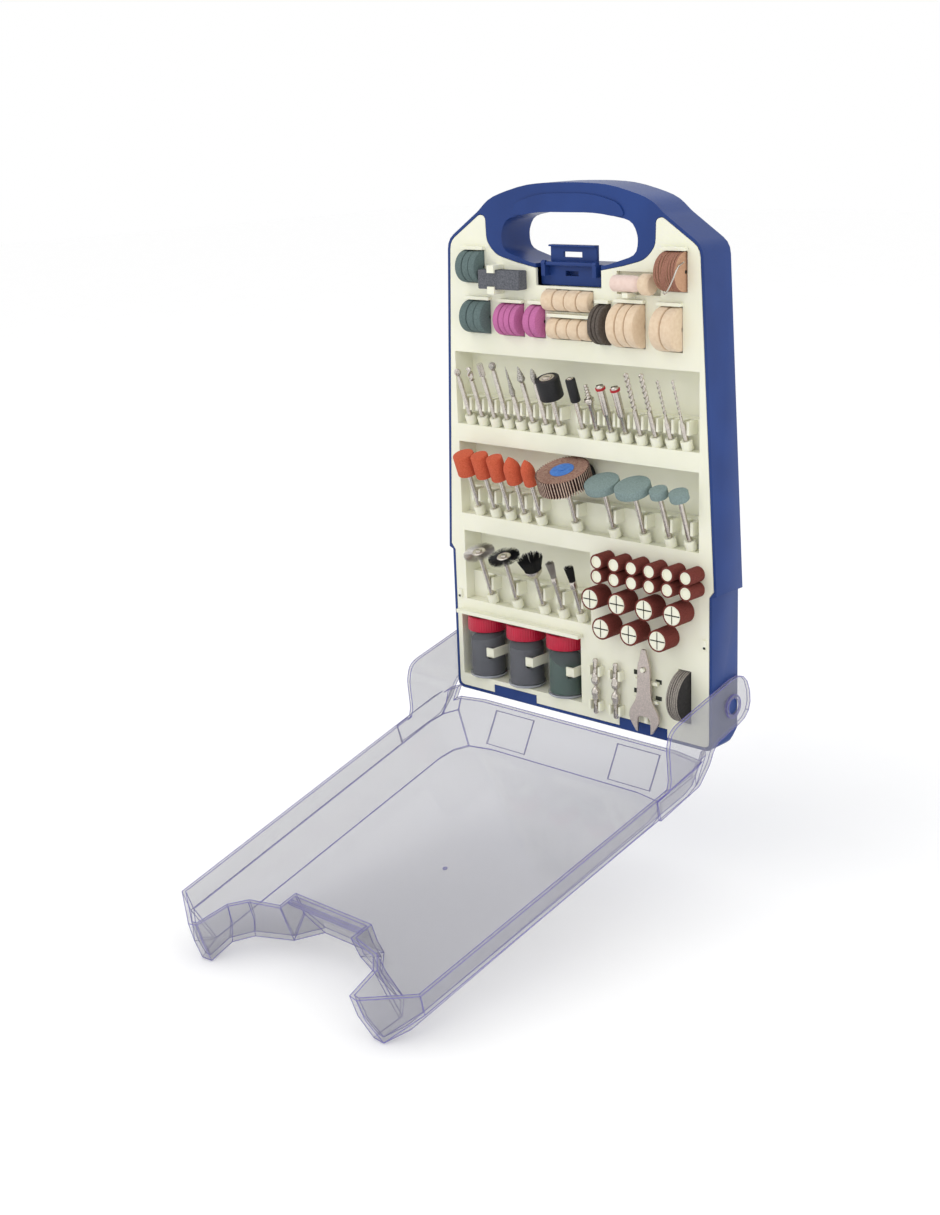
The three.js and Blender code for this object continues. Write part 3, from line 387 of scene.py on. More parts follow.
def square_to(way):
    """Two unit vectors square to each unit vector of way, and to each other."""
    spare = np.where(np.abs(way[:, 2:]) < 0.9, [[0, 0, 1.0]], [[1.0, 0, 0]])
    u = np.cross(spare, way)
    u /= np.linalg.norm(u, axis=1, keepdims=True)
    return u, np.cross(way, u)


def lathe(profile, sides=40, finish=0):
    """A profile of (radius, height) pairs turned about Z: x = r cos a, y = r sin a, z = h.
    It runs from low to high on the outside, so that the faces look outwards."""
    r, h = np.array(profile, float).T[:, :, None]
    a = np.linspace(0, 2 * np.pi, sides, endpoint=False)
    return grid(np.stack([r * np.cos(a), r * np.sin(a), h + 0 * a], axis=-1), finish)


def prism(outline, low, high, finish=0):
    """A flat outline of (u, v) pairs, anticlockwise, raised from w = low to w = high. The two
    end caps are fans round the outline's middle; a triangle repeats its last corner."""
    uv = np.array(outline, float)
    count = len(uv)
    middle = uv.mean(0)
    rings = [np.column_stack([uv, np.full(count, w)]) for w in (low, high)]
    points = np.vstack([*rings, [[*middle, low]], [[*middle, high]]])
    i = np.arange(count)
    j = (i + 1) % count
    walls = np.stack([i, j, j + count, i + count], axis=-1)
    bottom = np.stack([j, i, np.full(count, 2 * count), np.full(count, 2 * count)], axis=-1)
    top = np.stack([i + count, j + count, *[np.full(count, 2 * count + 1)] * 2], axis=-1)
    return points, np.vstack([walls, bottom, top]), finish


def block(x0, x1, y0, y1, z0, z1, finish=0):
    """A box between three pairs of limits."""
    return prism([(x0, y0), (x1, y0), (x1, y1), (x0, y1)], z0, z1, finish)


def moved(part, matrix=None, offset=(0, 0, 0)):
    """A part with each point p at matrix p + offset."""
    points, faces, finish = part
    matrix = np.eye(3) if matrix is None else np.asarray(matrix, float)
    return points @ matrix.T + np.asarray(offset, float), faces, finish


def turn_about(axis, angle):
    """The matrix that turns by an angle about the x, y or z axis."""
    i, j = {"x": (1, 2), "y": (2, 0), "z": (0, 1)}[axis]
    matrix = np.eye(3)
    matrix[i, i] = matrix[j, j] = math.cos(angle)
    matrix[i, j], matrix[j, i] = -math.sin(angle), math.sin(angle)
    return matrix


LEAN_ANGLE = math.radians(20)
LEAN = turn_about("x", LEAN_ANGLE)  # tools lean forward out of the tray
ALONG_X = turn_about("y", math.radians(90))  # a lathe's height runs along +X
OUT_OF_TRAY = turn_about("x", math.radians(90))  # a lathe's height runs towards the front


# %% Pieces
def make_piece(name, parts, finishes, body="case", round_mm=0.0, stands_for=()):
    """One mesh from parts in case millimetres."""
    points, faces, marks, start = [], [], [], 0
    for part_points, part_faces, finish in parts:
        points.append(part_points)
        faces.append(part_faces + start)
        marks.append(np.full(len(part_faces), finish))
        start += len(part_points)
    faces, marks = np.vstack(faces), np.concatenate(marks)
    three = faces[:, 2] == faces[:, 3]
    mesh = bpy.data.meshes.new(name)
    mesh.from_pydata(
        row(np.vstack(points)).tolist(), [], faces[~three].tolist() + faces[three, :3].tolist()
    )
    marks = np.concatenate([marks[~three], marks[three]]).astype(np.int32)
    mesh.polygons.foreach_set("material_index", marks)
    return dress(name, mesh, finishes, body, round_mm, stands_for)


def finished(node, parts, finishes, body="case", round_mm=0.0):
    """A piece that stands for one solid of the construction and is named after it."""
    return make_piece(node + "_finished", parts, finishes, body, round_mm, (node,))


def dress(name, mesh, finishes, body, round_mm, stands_for, sharp=38, flat=0.0):
    """Merges a mesh's coinciding points and, within flat degrees, its faces. Gives it its
    finishes, its body and rims rounded by round_mm where it turns by sharp degrees."""
    work = bmesh.new()
    work.from_mesh(mesh)
    bmesh.ops.remove_doubles(work, verts=work.verts, dist=2e-6)
    if flat:
        bmesh.ops.dissolve_limit(
            work, angle_limit=math.radians(flat), verts=work.verts, edges=work.edges,
            delimit={"MATERIAL"},
        )
    work.to_mesh(mesh)
    work.free()
    for finish in finishes:
        mesh.materials.append(finish)
    mesh.polygons.foreach_set("use_smooth", np.ones(len(mesh.polygons), bool))
    piece = bpy.data.objects.new(name, mesh)
    scene.collection.objects.link(piece)
    if round_mm:
        bevel = piece.modifiers.new("rounded rims", "BEVEL")
        bevel.width, bevel.segments = round_mm * MM, 2
        bevel.limit_method, bevel.angle_limit = "ANGLE", math.radians(sharp)
        bevel.harden_normals = False
    mesh.set_sharp_from_angle(angle=math.radians(sharp))
    if stands_for:
        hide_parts(*stands_for)
    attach(piece, body)
    return piece


def carried_over(node, finish, body, round_mm, sharp=30, reshape=None):
    """A merged, rounded copy of a solid of the construction, which it stands for. reshape
    may change its points, in case millimetres."""
    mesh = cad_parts[node].data.copy()
    if reshape:
        place = np.empty(3 * len(mesh.vertices))
        mesh.vertices.foreach_get("co", place)
        mesh.vertices.foreach_set("co", row(reshape(place.reshape(-1, 3) / MM + HANG)).ravel())
    mesh.materials.clear()
    mesh.polygons.foreach_set("material_index", np.zeros(len(mesh.polygons), np.int32))
    return dress(
        node + "_finished", mesh, [finish], body, round_mm, (node,), sharp, flat=1.0
    )


def box_of(node):
    """The lowest and highest corner of a solid's box, in case millimetres."""
    return [np.array(corner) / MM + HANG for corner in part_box(node)]


print("surface helpers ready")

# %% [markdown]
# ## Case, tray, lid and latch
# These four mouldings keep the construction's shape. Each is copied and its loose triangles
# are merged into whole faces. All but the lid have their corners rounded, because moulded
# plastic has no knife edges. In the tray the clip fingers end level with the shanks they
# hold, and the jars' hooks end near the jar's side.

# %% The four mouldings
JAR_PLACES = (-83.5, -49.0, -14.5)  # x of each jar


def tray_fittings(place):
    """Draws the fingers and hooks back: each front face lies at one depth of its own."""
    depth = place[:, 1].copy()
    for old, new in ((-4.4, -0.5), (-6.6, -3.3), (-5.2, -2.1)):
        place[np.abs(depth - old) < 0.02, 1] = new
    for jar_x in JAR_PLACES:
        place[(depth < -5.1) & (np.abs(place[:, 0] - jar_x - 4.5) < 0.02), 0] += 4.2
    return place


carried_over("case_shell", BLUE, "case", 0.9)
carried_over("storage_tray", CREAM, "case", 0.35, reshape=tray_fittings)
lid = carried_over("clear_lid", CLEAR, "lid", 0.0, sharp=18)
carried_over("latch", BLUE, "latch", 0.35)
print("four mouldings")

# %% [markdown]
# The lid's edges are lit from inside the plastic. That light is painted: a thin violet rod
# lies along each edge that turns by 24 degrees or more.


# %% The lid's painted corner light and its pip
def corner_rods(mesh, least_deg, radius, shortest=0.6):
    """A six-sided rod along each edge whose faces turn by least_deg or more: points
    edge end + radius (cos a u + sin a v), with u and v square to the edge."""
    work = bmesh.new()
    work.from_mesh(mesh)
    ends = np.array([
        [tuple(vert.co) for vert in edge.verts] for edge in work.edges
        if len(edge.link_faces) == 2 and edge.calc_face_angle(0.0) > math.radians(least_deg)
        and edge.calc_length() > shortest * MM
    ]) / MM + HANG
    work.free()
    way = ends[:, 1] - ends[:, 0]
    u, v = square_to(way / np.linalg.norm(way, axis=1, keepdims=True))
    a = 2 * np.pi * np.arange(6)[None, :, None] / 6
    ring = np.cos(a) * u[:, None, :] + np.sin(a) * v[:, None, :]
    points = ends[:, :, None, :] + radius * ring[:, None, :, :]
    return points.reshape(-1, 3), repeated(grid_faces(2, 6), 12, len(ends)), 0


SIDE_PIN = np.array([0, 17.6, 25.3])
OPEN = turn_about("x", math.radians(104))


def swung_down(part):
    """A part drawn on the closed lid, turned about the side pins to the open stop."""
    points, faces, finish = part
    return (points - SIDE_PIN) @ OPEN.T + SIDE_PIN, faces, finish


# Painted light: violet rods along the lid's edges, and the pip in the same finish.
make_piece("lid_painted_corner_light", [corner_rods(lid.data, 24, 0.27)], [PAINTED_CORNER_LIGHT], "lid")
pip = lathe([(0, 0), (1.6, 0), (1.5, 0.5), (0.9, 0.9), (0, 1.0)], 24)
pip = swung_down(moved(pip, OUT_OF_TRAY, (0, -30.2, 186)))
make_piece("lid_pip", [pip], [PAINTED_CORNER_LIGHT], "lid")
print("lid corners and pip")

# %% [markdown]
# ## Tools that stand in the bays
# Every tool is a lathe-turned bar of 3.2 mm with a working end. It leans forward out of its
# socket. Its foot is found from the box of its solid: the lowest point of the box is the
# front edge of the shank's end.

# %% Where a tool stands
SHANK = 1.6  # half of the usual 3.2 mm
FOOT_GAP = 0.3  # between the shank's end and the bottom of its socket
FOOT_Y = 3.0
FOOT_DROP = SHANK * math.sin(LEAN_ANGLE) - FOOT_GAP * math.cos(LEAN_ANGLE)
FEET = []


def shank(top):
    """The profile of the shank, with a small chamfer at its foot."""
    return [(0, FOOT_GAP), (SHANK - 0.3, FOOT_GAP), (SHANK, FOOT_GAP + 0.3), (SHANK, top)]


def standing(node, parts, finishes, spin=0.0):
    """Leans a tool's parts, sets them on its foot and makes one piece of them."""
    box_low, box_high = box_of(node)
    foot = np.array([(box_low[0] + box_high[0]) / 2, FOOT_Y, box_low[2] + FOOT_DROP])
    FEET.append(foot)
    lean = LEAN @ turn_about("z", spin)
    return finished(node, [moved(part, lean, foot) for part in parts], finishes)


# %% [markdown]
# ### Cutters and drills
# Flutes are grooves that climb round the bar. The radius at angle a and height h is the
# plain radius less a groove: depth times a cosine of (a - twist h), raised to a power that
# leaves narrow grooves between wide lands, or the other way round.


# %% Fluted ends
def fluted(radius_at, low_z, high_z, flutes, turns, depth, power=2.0, sides=60, steps=90):
    """A bar with helical flutes. radius_at gives the plain radius for heights from 0 to 1."""
    t = np.linspace(0, 1, steps)[:, None]
    a = np.linspace(0, 2 * np.pi, sides, endpoint=False)[None, :]
    wave = (0.5 + 0.5 * np.cos(flutes * (a - 2 * np.pi * turns * t))) ** power
    r = radius_at(t) * (1 - depth * wave * (t > 0) * (t < 1))
    z = low_z + (high_z - low_z) * t
    return grid(np.stack([r * np.cos(a), r * np.sin(a), np.broadcast_to(z, r.shape)], axis=-1))


def ball_cutter():
    """A ball with eight slanting flutes."""
    def ball(t):
        return 2.15 * np.sqrt(np.clip(1 - (2 * t - 1) ** 2, 0, 1))

    neck = lathe([*shank(28.5), (1.1, 29.5), (1.0, 31.4), (0, 31.4)])
    head = fluted(ball, 31.2, 36.2, 8, 0.12, 0.22)
    return standing("ball_cutter", [neck, head], [STEEL])


def twisted_cutter():
    """Two flutes that twist by nearly one turn."""
    neck = lathe([*shank(27.5), (1.3, 28.5), (1.3, 29.6), (0, 29.6)])
    blade = fluted(lambda t: 2.1 * np.clip(8 * (1 - t), 0, 1) ** 0.6, 29.2, 38.3, 2, 0.9, 0.5, 1.0)
    return standing("twisted_cutter", [neck, blade], [STEEL])


def cylinder_cutter():
    """A cylinder with fourteen steep flutes and flat ends."""
    neck = lathe([*shank(30.5), (1.2, 31.5), (1.2, 33.2), (0, 33.2)])
    head = fluted(lambda t: 2.0 + 0 * t, 33.0, 41.2, 14, 0.15, 0.16)
    foot = lathe([(0, 33.0), (2.0, 33.0), (2.0, 33.2), (1.7, 33.2)])
    end = lathe([(1.7, 41.0), (2.0, 41.2), (0, 41.2)])
    return standing("cylinder_cutter", [neck, head, foot, end], [STEEL])


def grit_burr(node, head):
    """A burr whose head is plated with grit; its head is a profile above the shank."""
    low_z = head[0][1]
    neck = lathe([*shank(low_z - 1.5), (1.1, low_z), (1.1, low_z + 0.3), (0, low_z + 0.3)])
    plated = lathe([(0, low_z), *head], 32, 1)
    return standing(node, [neck, plated], [STEEL, GRIT_STEEL])


def twist_drill(node, radius, length):
    """A drill: shank, neck, two flutes over rather more than half its length, and a point."""
    def tapered(t):
        return radius * np.clip((1 - t) * 22, 0, 1) + 0.04

    flute = length * 0.44
    neck = lathe([*shank(13.5), (radius, 15.2), (radius, flute), (0, flute)])
    body = fluted(tapered, flute - 0.2, length - 0.2, 2, 3.6, 0.5, 1.6, sides=48, steps=150)
    return standing(node, [neck, body], [STEEL])


ball_cutter()
twisted_cutter()
cylinder_cutter()
for burr, head in [
    ("round_burr", [(0.9, 37.6), (1.9, 38.9), (2.45, 40.6), (2.1, 42.2), (1.2, 42.9), (0, 43.0)]),
    ("needle_burr", [(1.3, 20.5), (2.0, 23.4), (1.4, 26.5), (0.95, 32), (0.55, 38), (0, 41.4)]),
    ("arrow_burr", [(1.2, 31), (2.55, 33.2), (2.3, 35), (1.0, 39.6), (0.3, 42), (0, 42.3)]),
    ("flame_burr", [(1.1, 31.2), (1.9, 34), (2.05, 36), (1.3, 39.4), (0.4, 41.2), (0, 41.3)]),
]:
    grit_burr(burr, head)
DRILLS = [(1.55, 44.8), (1.55, 45.4), (0.95, 42), (0.85, 43)]  # radius and length
for number, (drill_radius, drill_length) in enumerate(DRILLS, 1):
    twist_drill(f"drill_{number}", drill_radius, drill_length)
print("cutters, burrs and drills")

# %% [markdown]
# ### Drums and mandrels
# A rubber drum swells when its screw is tightened and grips a sanding sleeve. The two
# mandrels with red washers clamp a cut-off disc under a slotted screw.


# %% Drums and mandrels
def screw_head(radius, low_z):
    """A cheese-head screw with a slot across it; the slot is painted shade, a dark bar."""
    head = lathe([
        (0, low_z), (radius, low_z), (radius, low_z + 0.5), (radius - 0.2, low_z + 0.7),
        (0, low_z + 0.7),
    ], 28, 0)
    wide = 0.8 * radius
    return [head, block(-wide, wide, -0.22, 0.22, low_z + 0.6, low_z + 0.74, 2)]


def rubber_drum(node, radius, low_z, high_z):
    """Shank, rubber roll with rounded rims, washer and screw."""
    roll, washer = radius - 0.05, radius * 0.62
    parts = [
        lathe(shank(low_z), 32, 0),
        lathe([
            (0, low_z), (radius - 0.9, low_z), (radius - 0.35, low_z + 0.15), (roll, low_z + 0.7),
            (roll, high_z - 0.8), (radius - 0.4, high_z - 0.3), (radius - 0.9, high_z - 0.1),
            (washer, high_z - 0.1), (0, high_z - 0.1),
        ], 56, 1),
        lathe([
            (0, high_z - 0.2), (washer, high_z - 0.2), (washer, high_z + 0.1), (0, high_z + 0.1),
        ], 40, 0),
        *screw_head(radius * 0.42, high_z + 0.05),
    ]
    return standing(node, parts, [STEEL, BLACK_RUBBER, SHADOW])


def screw_mandrel():
    """A coarse screw for felt tips, over a collar."""
    parts = [
        lathe([
            *shank(20), (2.1, 20.8), (2.1, 22), (3.05, 22.8), (3.05, 24.4), (2.4, 24.9),
            (1.3, 25.1), (0, 25.1),
        ], 36),
        fluted(lambda t: 1.35 + 0.65 * (1 - t), 25.0, 33.4, 1, 4.5, 0.42, 0.8, sides=40, steps=140),
        lathe([(1.2, 33.2), (0.7, 33.8), (0, 34.0)]),
    ]
    return standing("screw_mandrel", parts, [STEEL])


def disc_mandrel(node):
    """A stout stem with two red fibre washers under a domed, slotted screw."""
    parts = [
        lathe([*shank(13), (2.2, 14.4), (2.45, 15.5), (2.45, 31.4), (2.2, 31.7), (0, 31.7)], 36, 0),
        lathe([(0, 31.7), (3.05, 31.7), (3.05, 32.25), (0, 32.25)], 36, 1),
        lathe([(0, 32.4), (3.05, 32.4), (3.05, 32.95), (0, 32.95)], 36, 1),
        lathe([(0, 33.0), (2.45, 33.0), (2.45, 33.5), (2.0, 34.2), (1.0, 34.6), (0, 34.7)], 36, 0),
        # The screw's slot is painted shade: a dark bar across the dome.
        block(-2.0, 2.0, -0.25, 0.25, 34.2, 34.74, 2),
    ]
    return standing(node, parts, [STEEL, RED_FIBRE, SHADOW], spin=0.6)


rubber_drum("drum_mandrel_large", 7.6, 22.5, 36.2)
rubber_drum("drum_mandrel_small", 3.2, 21.5, 37.0)
screw_mandrel()
disc_mandrel("disc_mandrel_1")
disc_mandrel("disc_mandrel_2")
print("drums and mandrels")

# %% [markdown]
# ### Mounted stones and discs
# A mounted stone is bonded abrasive cast round the end of a shank. Its rims are slightly
# worn, so the profile turns them with a small radius. A disc is the same, wider and thinner.


# %% Mounted stones
def worn(radius, low_z, high_z, rim=0.9):
    """A straight stone's profile with rounded rims."""
    return [
        (0, low_z), (radius - rim, low_z), (radius - 0.3 * rim, low_z + 0.3 * rim),
        (radius, low_z + rim), (radius, high_z - rim),
        (radius - 0.3 * rim, high_z - 0.3 * rim), (radius - rim, high_z), (0, high_z),
    ]


def mounted(node, head, finish, sides=48):
    """A stone on its shank; the shank shows from the socket to the stone."""
    stem = lathe([*shank(head[0][1] + 1.0), (0, head[0][1] + 1.0)], 28, 0)
    return standing(node, [stem, lathe(head, sides, 1)], [STEEL, finish])


def tree_stone(radius, low_z, high_z, waist, tip):
    """A pointed stone: full to a waist, then a smooth ogive to a blunt tip."""
    t = np.linspace(0, 1, 14)
    ogive_r = tip + (radius - tip) * np.cos(0.5 * np.pi * t ** 1.5)
    ogive_z = waist + (high_z - waist) * t
    return [
        (0, low_z), (radius * 0.86, low_z), (radius * 0.97, low_z + 0.8), (radius, waist - 3),
        *zip(ogive_r, ogive_z), (0, high_z),
    ]


STONE_HEADS = [
    worn(7.0, 27.5, 42), worn(5.7, 27, 43), worn(5.4, 26.5, 42.6),
    tree_stone(5.6, 26, 44.2, 33, 0.6), tree_stone(4.5, 26, 43.7, 33.5, 0.5),
]
for number, head in enumerate(STONE_HEADS, 1):
    mounted(f"orange_stone_{number}", head, ORANGE_STONE)
GREY_DISCS = [(11, 31), (11.2, 31.5), (5.6, 31), (5.9, 31)]  # radius and lower face
for number, (disc_radius, low_z) in enumerate(GREY_DISCS, 1):
    head = worn(disc_radius, low_z, low_z + 5.5, 0.7)
    mounted(f"grey_disc_{number}", head, GREY_STONE, 72)
print("nine mounted stones")

# %% [markdown]
# ### The flap wheel
# Leaves of abrasive cloth are packed round a core and glued to it. Each leaf
# leaves the core at a slant. At distance s from its root, leaf i stands at the angle
# 2 pi i / n - slant s, so all leaves curl the same way. One side shows glued cloth edges
# and a printed blue washer with a lock nut.


# %% Flap wheel
def flap_wheel():
    """The leaves and their core, with a washer and a nut on the upper side."""
    leaves, core_r, rim_r, low_z, high_z, slant = 60, 7.4, 17.2, 29.6, 40.4, 0.22
    s = np.linspace(0, 1, 7)
    radius = core_r + (rim_r - core_r) * s
    start = 2 * np.pi * np.arange(leaves) / leaves
    ragged = 0.02 * np.sin(37.0 * np.arange(leaves))  # no two leaves lie quite alike
    half = 0.2 + 0.14 * s  # mm, leaves spread a little towards the rim
    centre = start[:, None] - slant * s[None, :] + ragged[:, None] * s[None, :]
    around = np.concatenate([centre + half / radius, (centre - half / radius)[:, ::-1]], axis=1)
    r = np.concatenate([radius, radius[::-1]])[None, :]
    section = np.stack([r * np.cos(around), r * np.sin(around)], axis=-1)
    count = section.shape[1]
    levels = np.array([low_z, high_z])
    points = np.concatenate([
        np.broadcast_to(section[:, None, :, :], (leaves, 2, count, 2)),
        np.broadcast_to(levels[None, :, None, None], (leaves, 2, count, 1)),
    ], axis=-1)
    i = np.arange(count)
    j = (i + 1) % count
    walls = np.stack([j, i, i + count, j + count], axis=-1)
    k = np.arange(len(s) - 1)
    m = count - 1 - k
    lids = np.concatenate([
        np.stack([k, k + 1, m - 1, m], axis=-1), np.stack([k, m, m - 1, k + 1], axis=-1) + count
    ])
    per_leaf = np.concatenate([walls, lids])
    marks = np.full(len(per_leaf), 4)  # dark abrasive sides
    marks[len(s) - 1] = 1  # the light rim
    marks[count + len(s) - 1:] = 2  # the upper edge
    faces = repeated(per_leaf, 2 * count, leaves)
    cloth = (points.reshape(-1, 3), faces, np.tile(marks, leaves))

    def disc(radius, low, high, finish):
        return lathe([(0, low), (radius, low), (radius, high), (0, high)], 72, finish)

    core = disc(14.2, low_z + 0.4, high_z - 0.5, 4)
    glue = disc(16.2, high_z - 0.6, high_z - 0.1, 2)
    washer = lathe([
        (0, high_z - 0.4), (7.6, high_z - 0.4), (7.6, high_z + 0.25), (6.9, high_z + 0.45),
        (3.4, high_z + 0.5), (0, high_z + 0.5),
    ], 56, 3)
    nut = lathe([
        (0, high_z + 0.4), (2.6, high_z + 0.4), (2.6, high_z + 0.8), (1.9, high_z + 0.9),
        (0, high_z + 0.9),
    ], 6, 3)
    stem = lathe([*shank(low_z - 1), (3.0, low_z - 0.9), (3.0, low_z + 0.6), (0, low_z + 0.6)], 32, 0)
    return standing(
        "flap_wheel", [stem, cloth, core, glue, washer, nut],
        [STEEL, FLAP_CLOTH, FLAP_SIDE, HUB_BLUE, FLAP_CORE],
    )


flap_wheel()
print("flap wheel")

# %% [markdown]
# ### Brushes
# A wheel brush is crimped wire or nylon held between two pressed washers. Each strand here
# is a thin three-sided rod that narrows to its tip and bows by a small sideways wave. All
# strands of a brush are worked out together.


# %% Strands
def strands(roots, tips, thick, wave, joints=5):
    """Rods from roots to tips, both arrays of points. A point at s along a strand is
    root + s (tip - root) + wave sin(pi s) sideways, and its thickness falls to 55 percent."""
    s = np.linspace(0, 1, joints)
    way = tips - roots
    u, v = square_to(way / np.linalg.norm(way, axis=1, keepdims=True))
    bow = wave[:, None, None] * np.sin(np.pi * s)[None, :, None] * u[:, None, :]
    spine = roots[:, None, :] + s[None, :, None] * way[:, None, :] + bow
    a = 2 * np.pi * np.arange(3)[None, :, None] / 3
    ring = u[:, None, :] * np.cos(a) + v[:, None, :] * np.sin(a)
    thickness = thick * (1 - 0.45 * s)
    points = spine[:, :, None, :] + thickness[None, :, None, None] * ring[:, None, :, :]
    last = 3 * joints - 1
    faces = np.concatenate([grid_faces(joints, 3), [[last - 2, last - 1, last, last]]])
    return points.reshape(-1, 3), repeated(faces, 3 * joints, len(roots)), 1


def fan(r, a, z):
    """Points at radius r, angle a and height z, as one array."""
    return np.stack([r * np.cos(a), r * np.sin(a), z + 0 * r * a], axis=-1)


def spread(count, seed):
    """Seeded even numbers from 0 to 1, so that each run gives the same brush."""
    return np.random.default_rng(seed).random(count)


def wheel_brush(node, finish, half_width, count, thick, seed):
    """Strands from a hub out to the rim, leaning to either side, between two washers."""
    a = 2 * np.pi * (np.arange(count) + 0.4 * spread(count, seed)) / count
    side = 2 * spread(count, seed + 1) - 1
    reach = 10.1 + 0.5 * spread(count, seed + 2)
    z = 35.6
    roots = fan(4.0, a, z + 0.5 * side)
    tips = fan(reach, a + 0.05 * side, z + half_width * side)
    wires = strands(roots, tips, thick, 0.5 * (spread(count, seed + 3) - 0.5))
    hub = lathe([
        *shank(z - 1.2), (4.3, z - 1.15), (4.7, z - 0.8), (4.7, z + 0.7), (4.2, z + 1.1),
        (3.6, z + 0.95), (2.2, z + 1.0), (2.2, z + 1.4), (1.8, z + 2.1), (0, z + 2.15),
    ], 40, 0)
    # The hub's slot is painted shade: a dark bar across its top.
    cut = block(-1.7, 1.7, -0.22, 0.22, z + 2.0, z + 2.19, 2)
    return standing(node, [hub, wires, cut], [STEEL, finish, SHADOW])


def cup_brush():
    """Nylon strands that flare out of a pressed cup."""
    count = 420
    a = 2 * np.pi * spread(count, 21) + 2 * np.pi * np.arange(count) / count
    r = np.sqrt(0.2 + 0.8 * spread(count, 22))
    top = 39.4 - 0.8 * spread(count, 23)
    wave = 0.7 * (spread(count, 24) - 0.5)
    hair = strands(fan(4.9 * r, a, 29.8), fan(8.5 * r, a, top), 0.24, wave)
    cup = lathe([
        *shank(25), (3.0, 25.2), (5.2, 27.8), (5.75, 29.4), (5.75, 30.4), (5.3, 30.4),
        (5.0, 29.6), (0, 29.6),
    ], 44, 0)
    return standing("cup_brush", [cup, hair], [STEEL, BRISTLE])


def end_brush(node, finish, ferrule_r, tip_r, top, count, seed):
    """A tuft that opens a little above a long ferrule. Strand i stands at the angle i times
    the golden share of a turn, which fills the ferrule evenly."""
    a = 2 * np.pi * np.arange(count) * 0.618034
    r = np.sqrt((np.arange(count) + 0.5) / count)
    roots = fan(ferrule_r * 0.9 * r, a, 26.4)
    tips = fan(tip_r * r, a, top - 1.2 * spread(count, seed))
    hair = strands(roots, tips, 0.2, 0.5 * (spread(count, seed + 1) - 0.5))
    tube = lathe([
        *shank(20.8), (ferrule_r + 0.1, 21.4), (ferrule_r + 0.3, 22), (ferrule_r + 0.3, 26.6),
        (ferrule_r, 27), (ferrule_r - 0.3, 27), (ferrule_r - 0.3, 26.2), (0, 26.2),
    ], 36, 0)
    return standing(node, [tube, hair], [STEEL, finish])


wheel_brush("wire_wheel_brush", WIRE_STEEL, 1.2, 620, 0.13, 1)
wheel_brush("nylon_wheel_brush", BRISTLE, 1.4, 560, 0.16, 11)
cup_brush()
end_brush("wire_end_brush", WIRE_STEEL, 1.7, 2.8, 38.4, 150, 31)
end_brush("nylon_end_brush", BRISTLE, 2.0, 3.0, 37.8, 150, 41)
print("five brushes")

# %% [markdown]
# ## Pieces laid in the tray
# Stacks of discs stand on edge in pockets, with their axis along X. Each disc is a lathe with
# worn rims and a bored centre. Sanding sleeves are thin paper tubes on the tray's round posts,
# which show white inside them.


# %% Stacks of discs
BORE = 1.1  # radius of the hole through a disc


def disc_stack(node, radius, count, finish, slot, rim):
    """Equal discs with a thin gap, in the box of their solid, with a hole bored at the middle.
    The hole's floor is painted shade, a dark disc; felt closes over its hole, so a felt disc
    shows none."""
    box_low, box_high = box_of(node)
    middle = (box_low + box_high) / 2
    place = (box_low[0], middle[1], middle[2])
    gap = 0.5
    each = (box_high[0] - box_low[0] - gap * (count - 1)) / count
    felt = slot == "felt"
    parts = []
    for number in range(count):
        start = number * (each + gap)
        end = start + each
        rims = worn(radius - 0.25 * (number % 2), start, end, rim)[:-1]
        disc = lathe([*rims, (BORE, end), (BORE, end - (0.1 if felt else 0.6))], 56)
        # The hole's floor: a dark disc of painted shade, in felt colour for felt.
        hole = lathe([(BORE, end - 0.55), (0, end - 0.55)], 24, 0 if felt else 1)
        parts += [moved(disc, ALONG_X, place), moved(hole, ALONG_X, place)]
    return finished(node, parts, [finish, SHADOW])


for node, radius, count, finish, slot, rim in [
    ("grinding_discs_upper", 10.0, 3, GREEN_DISC, "grey_stone", 0.5),
    ("grinding_discs_lower", 10.2, 3, GREEN_DISC, "grey_stone", 0.5),
    ("pink_discs_1", 10.0, 4, PINK_STONE, "pink_stone", 0.5),
    ("pink_discs_2", 10.0, 2, PINK_STONE, "pink_stone", 0.5),
    ("small_felts_upper", 6.4, 4, FELT, "felt", 1.1),
    ("small_felts_lower", 6.4, 4, FELT, "felt", 1.1),
    ("rubber_discs", 12.0, 3, RUBBER_DISC, "dark_rubber", 0.6),
    ("large_felts_1", 12.9, 3, FELT, "felt", 1.2),
    ("large_felts_2", 12.9, 2, FELT, "felt", 1.2),
]:
    disc_stack(node, radius, count, finish, slot, rim)
print("nine stacks")


# %% Sanding and cutting discs
def thin_discs(node, radius, count, edge, face, waves):
    """Thin discs side by side; each rim is a little out of flat: x shifts by waves mm along
    a cosine of twice the angle."""
    box_low, box_high = box_of(node)
    middle = (box_low + box_high) / 2
    place = (box_low[0] + waves, middle[1], middle[2])
    pitch = (box_high[0] - box_low[0] - 2 * waves) / count
    hole = 1.2
    parts = []
    for number in range(count):
        start, end = number * pitch, (number + 1) * pitch - 0.35
        # The third profile closes each hole with a dark disc of painted shade.
        for finish, profile in enumerate([
            [(0, start), (radius, start), (radius, end)],
            [(radius, end), (hole, end), (hole, end - 0.5)],
            [(hole, end - 0.45), (0, end - 0.45)],
        ]):
            part = lathe(profile, 72, finish)
            points = part[0]
            reach = np.hypot(points[:, 0], points[:, 1]) / radius
            angle = np.arctan2(points[:, 1], points[:, 0])
            points[:, 2] += waves * reach ** 2 * np.cos(2 * angle + 1.3 * number)
            parts.append(moved(part, ALONG_X, place))
    return finished(node, parts, [edge, face, SHADOW])


thin_discs("sanding_discs", 11.3, 9, BROWN_PAPER, TAN_PAPER, 0.35)
thin_discs("cutting_discs", 16.6, 6, DISC_EDGE, BLACK_DISC, 0.15)


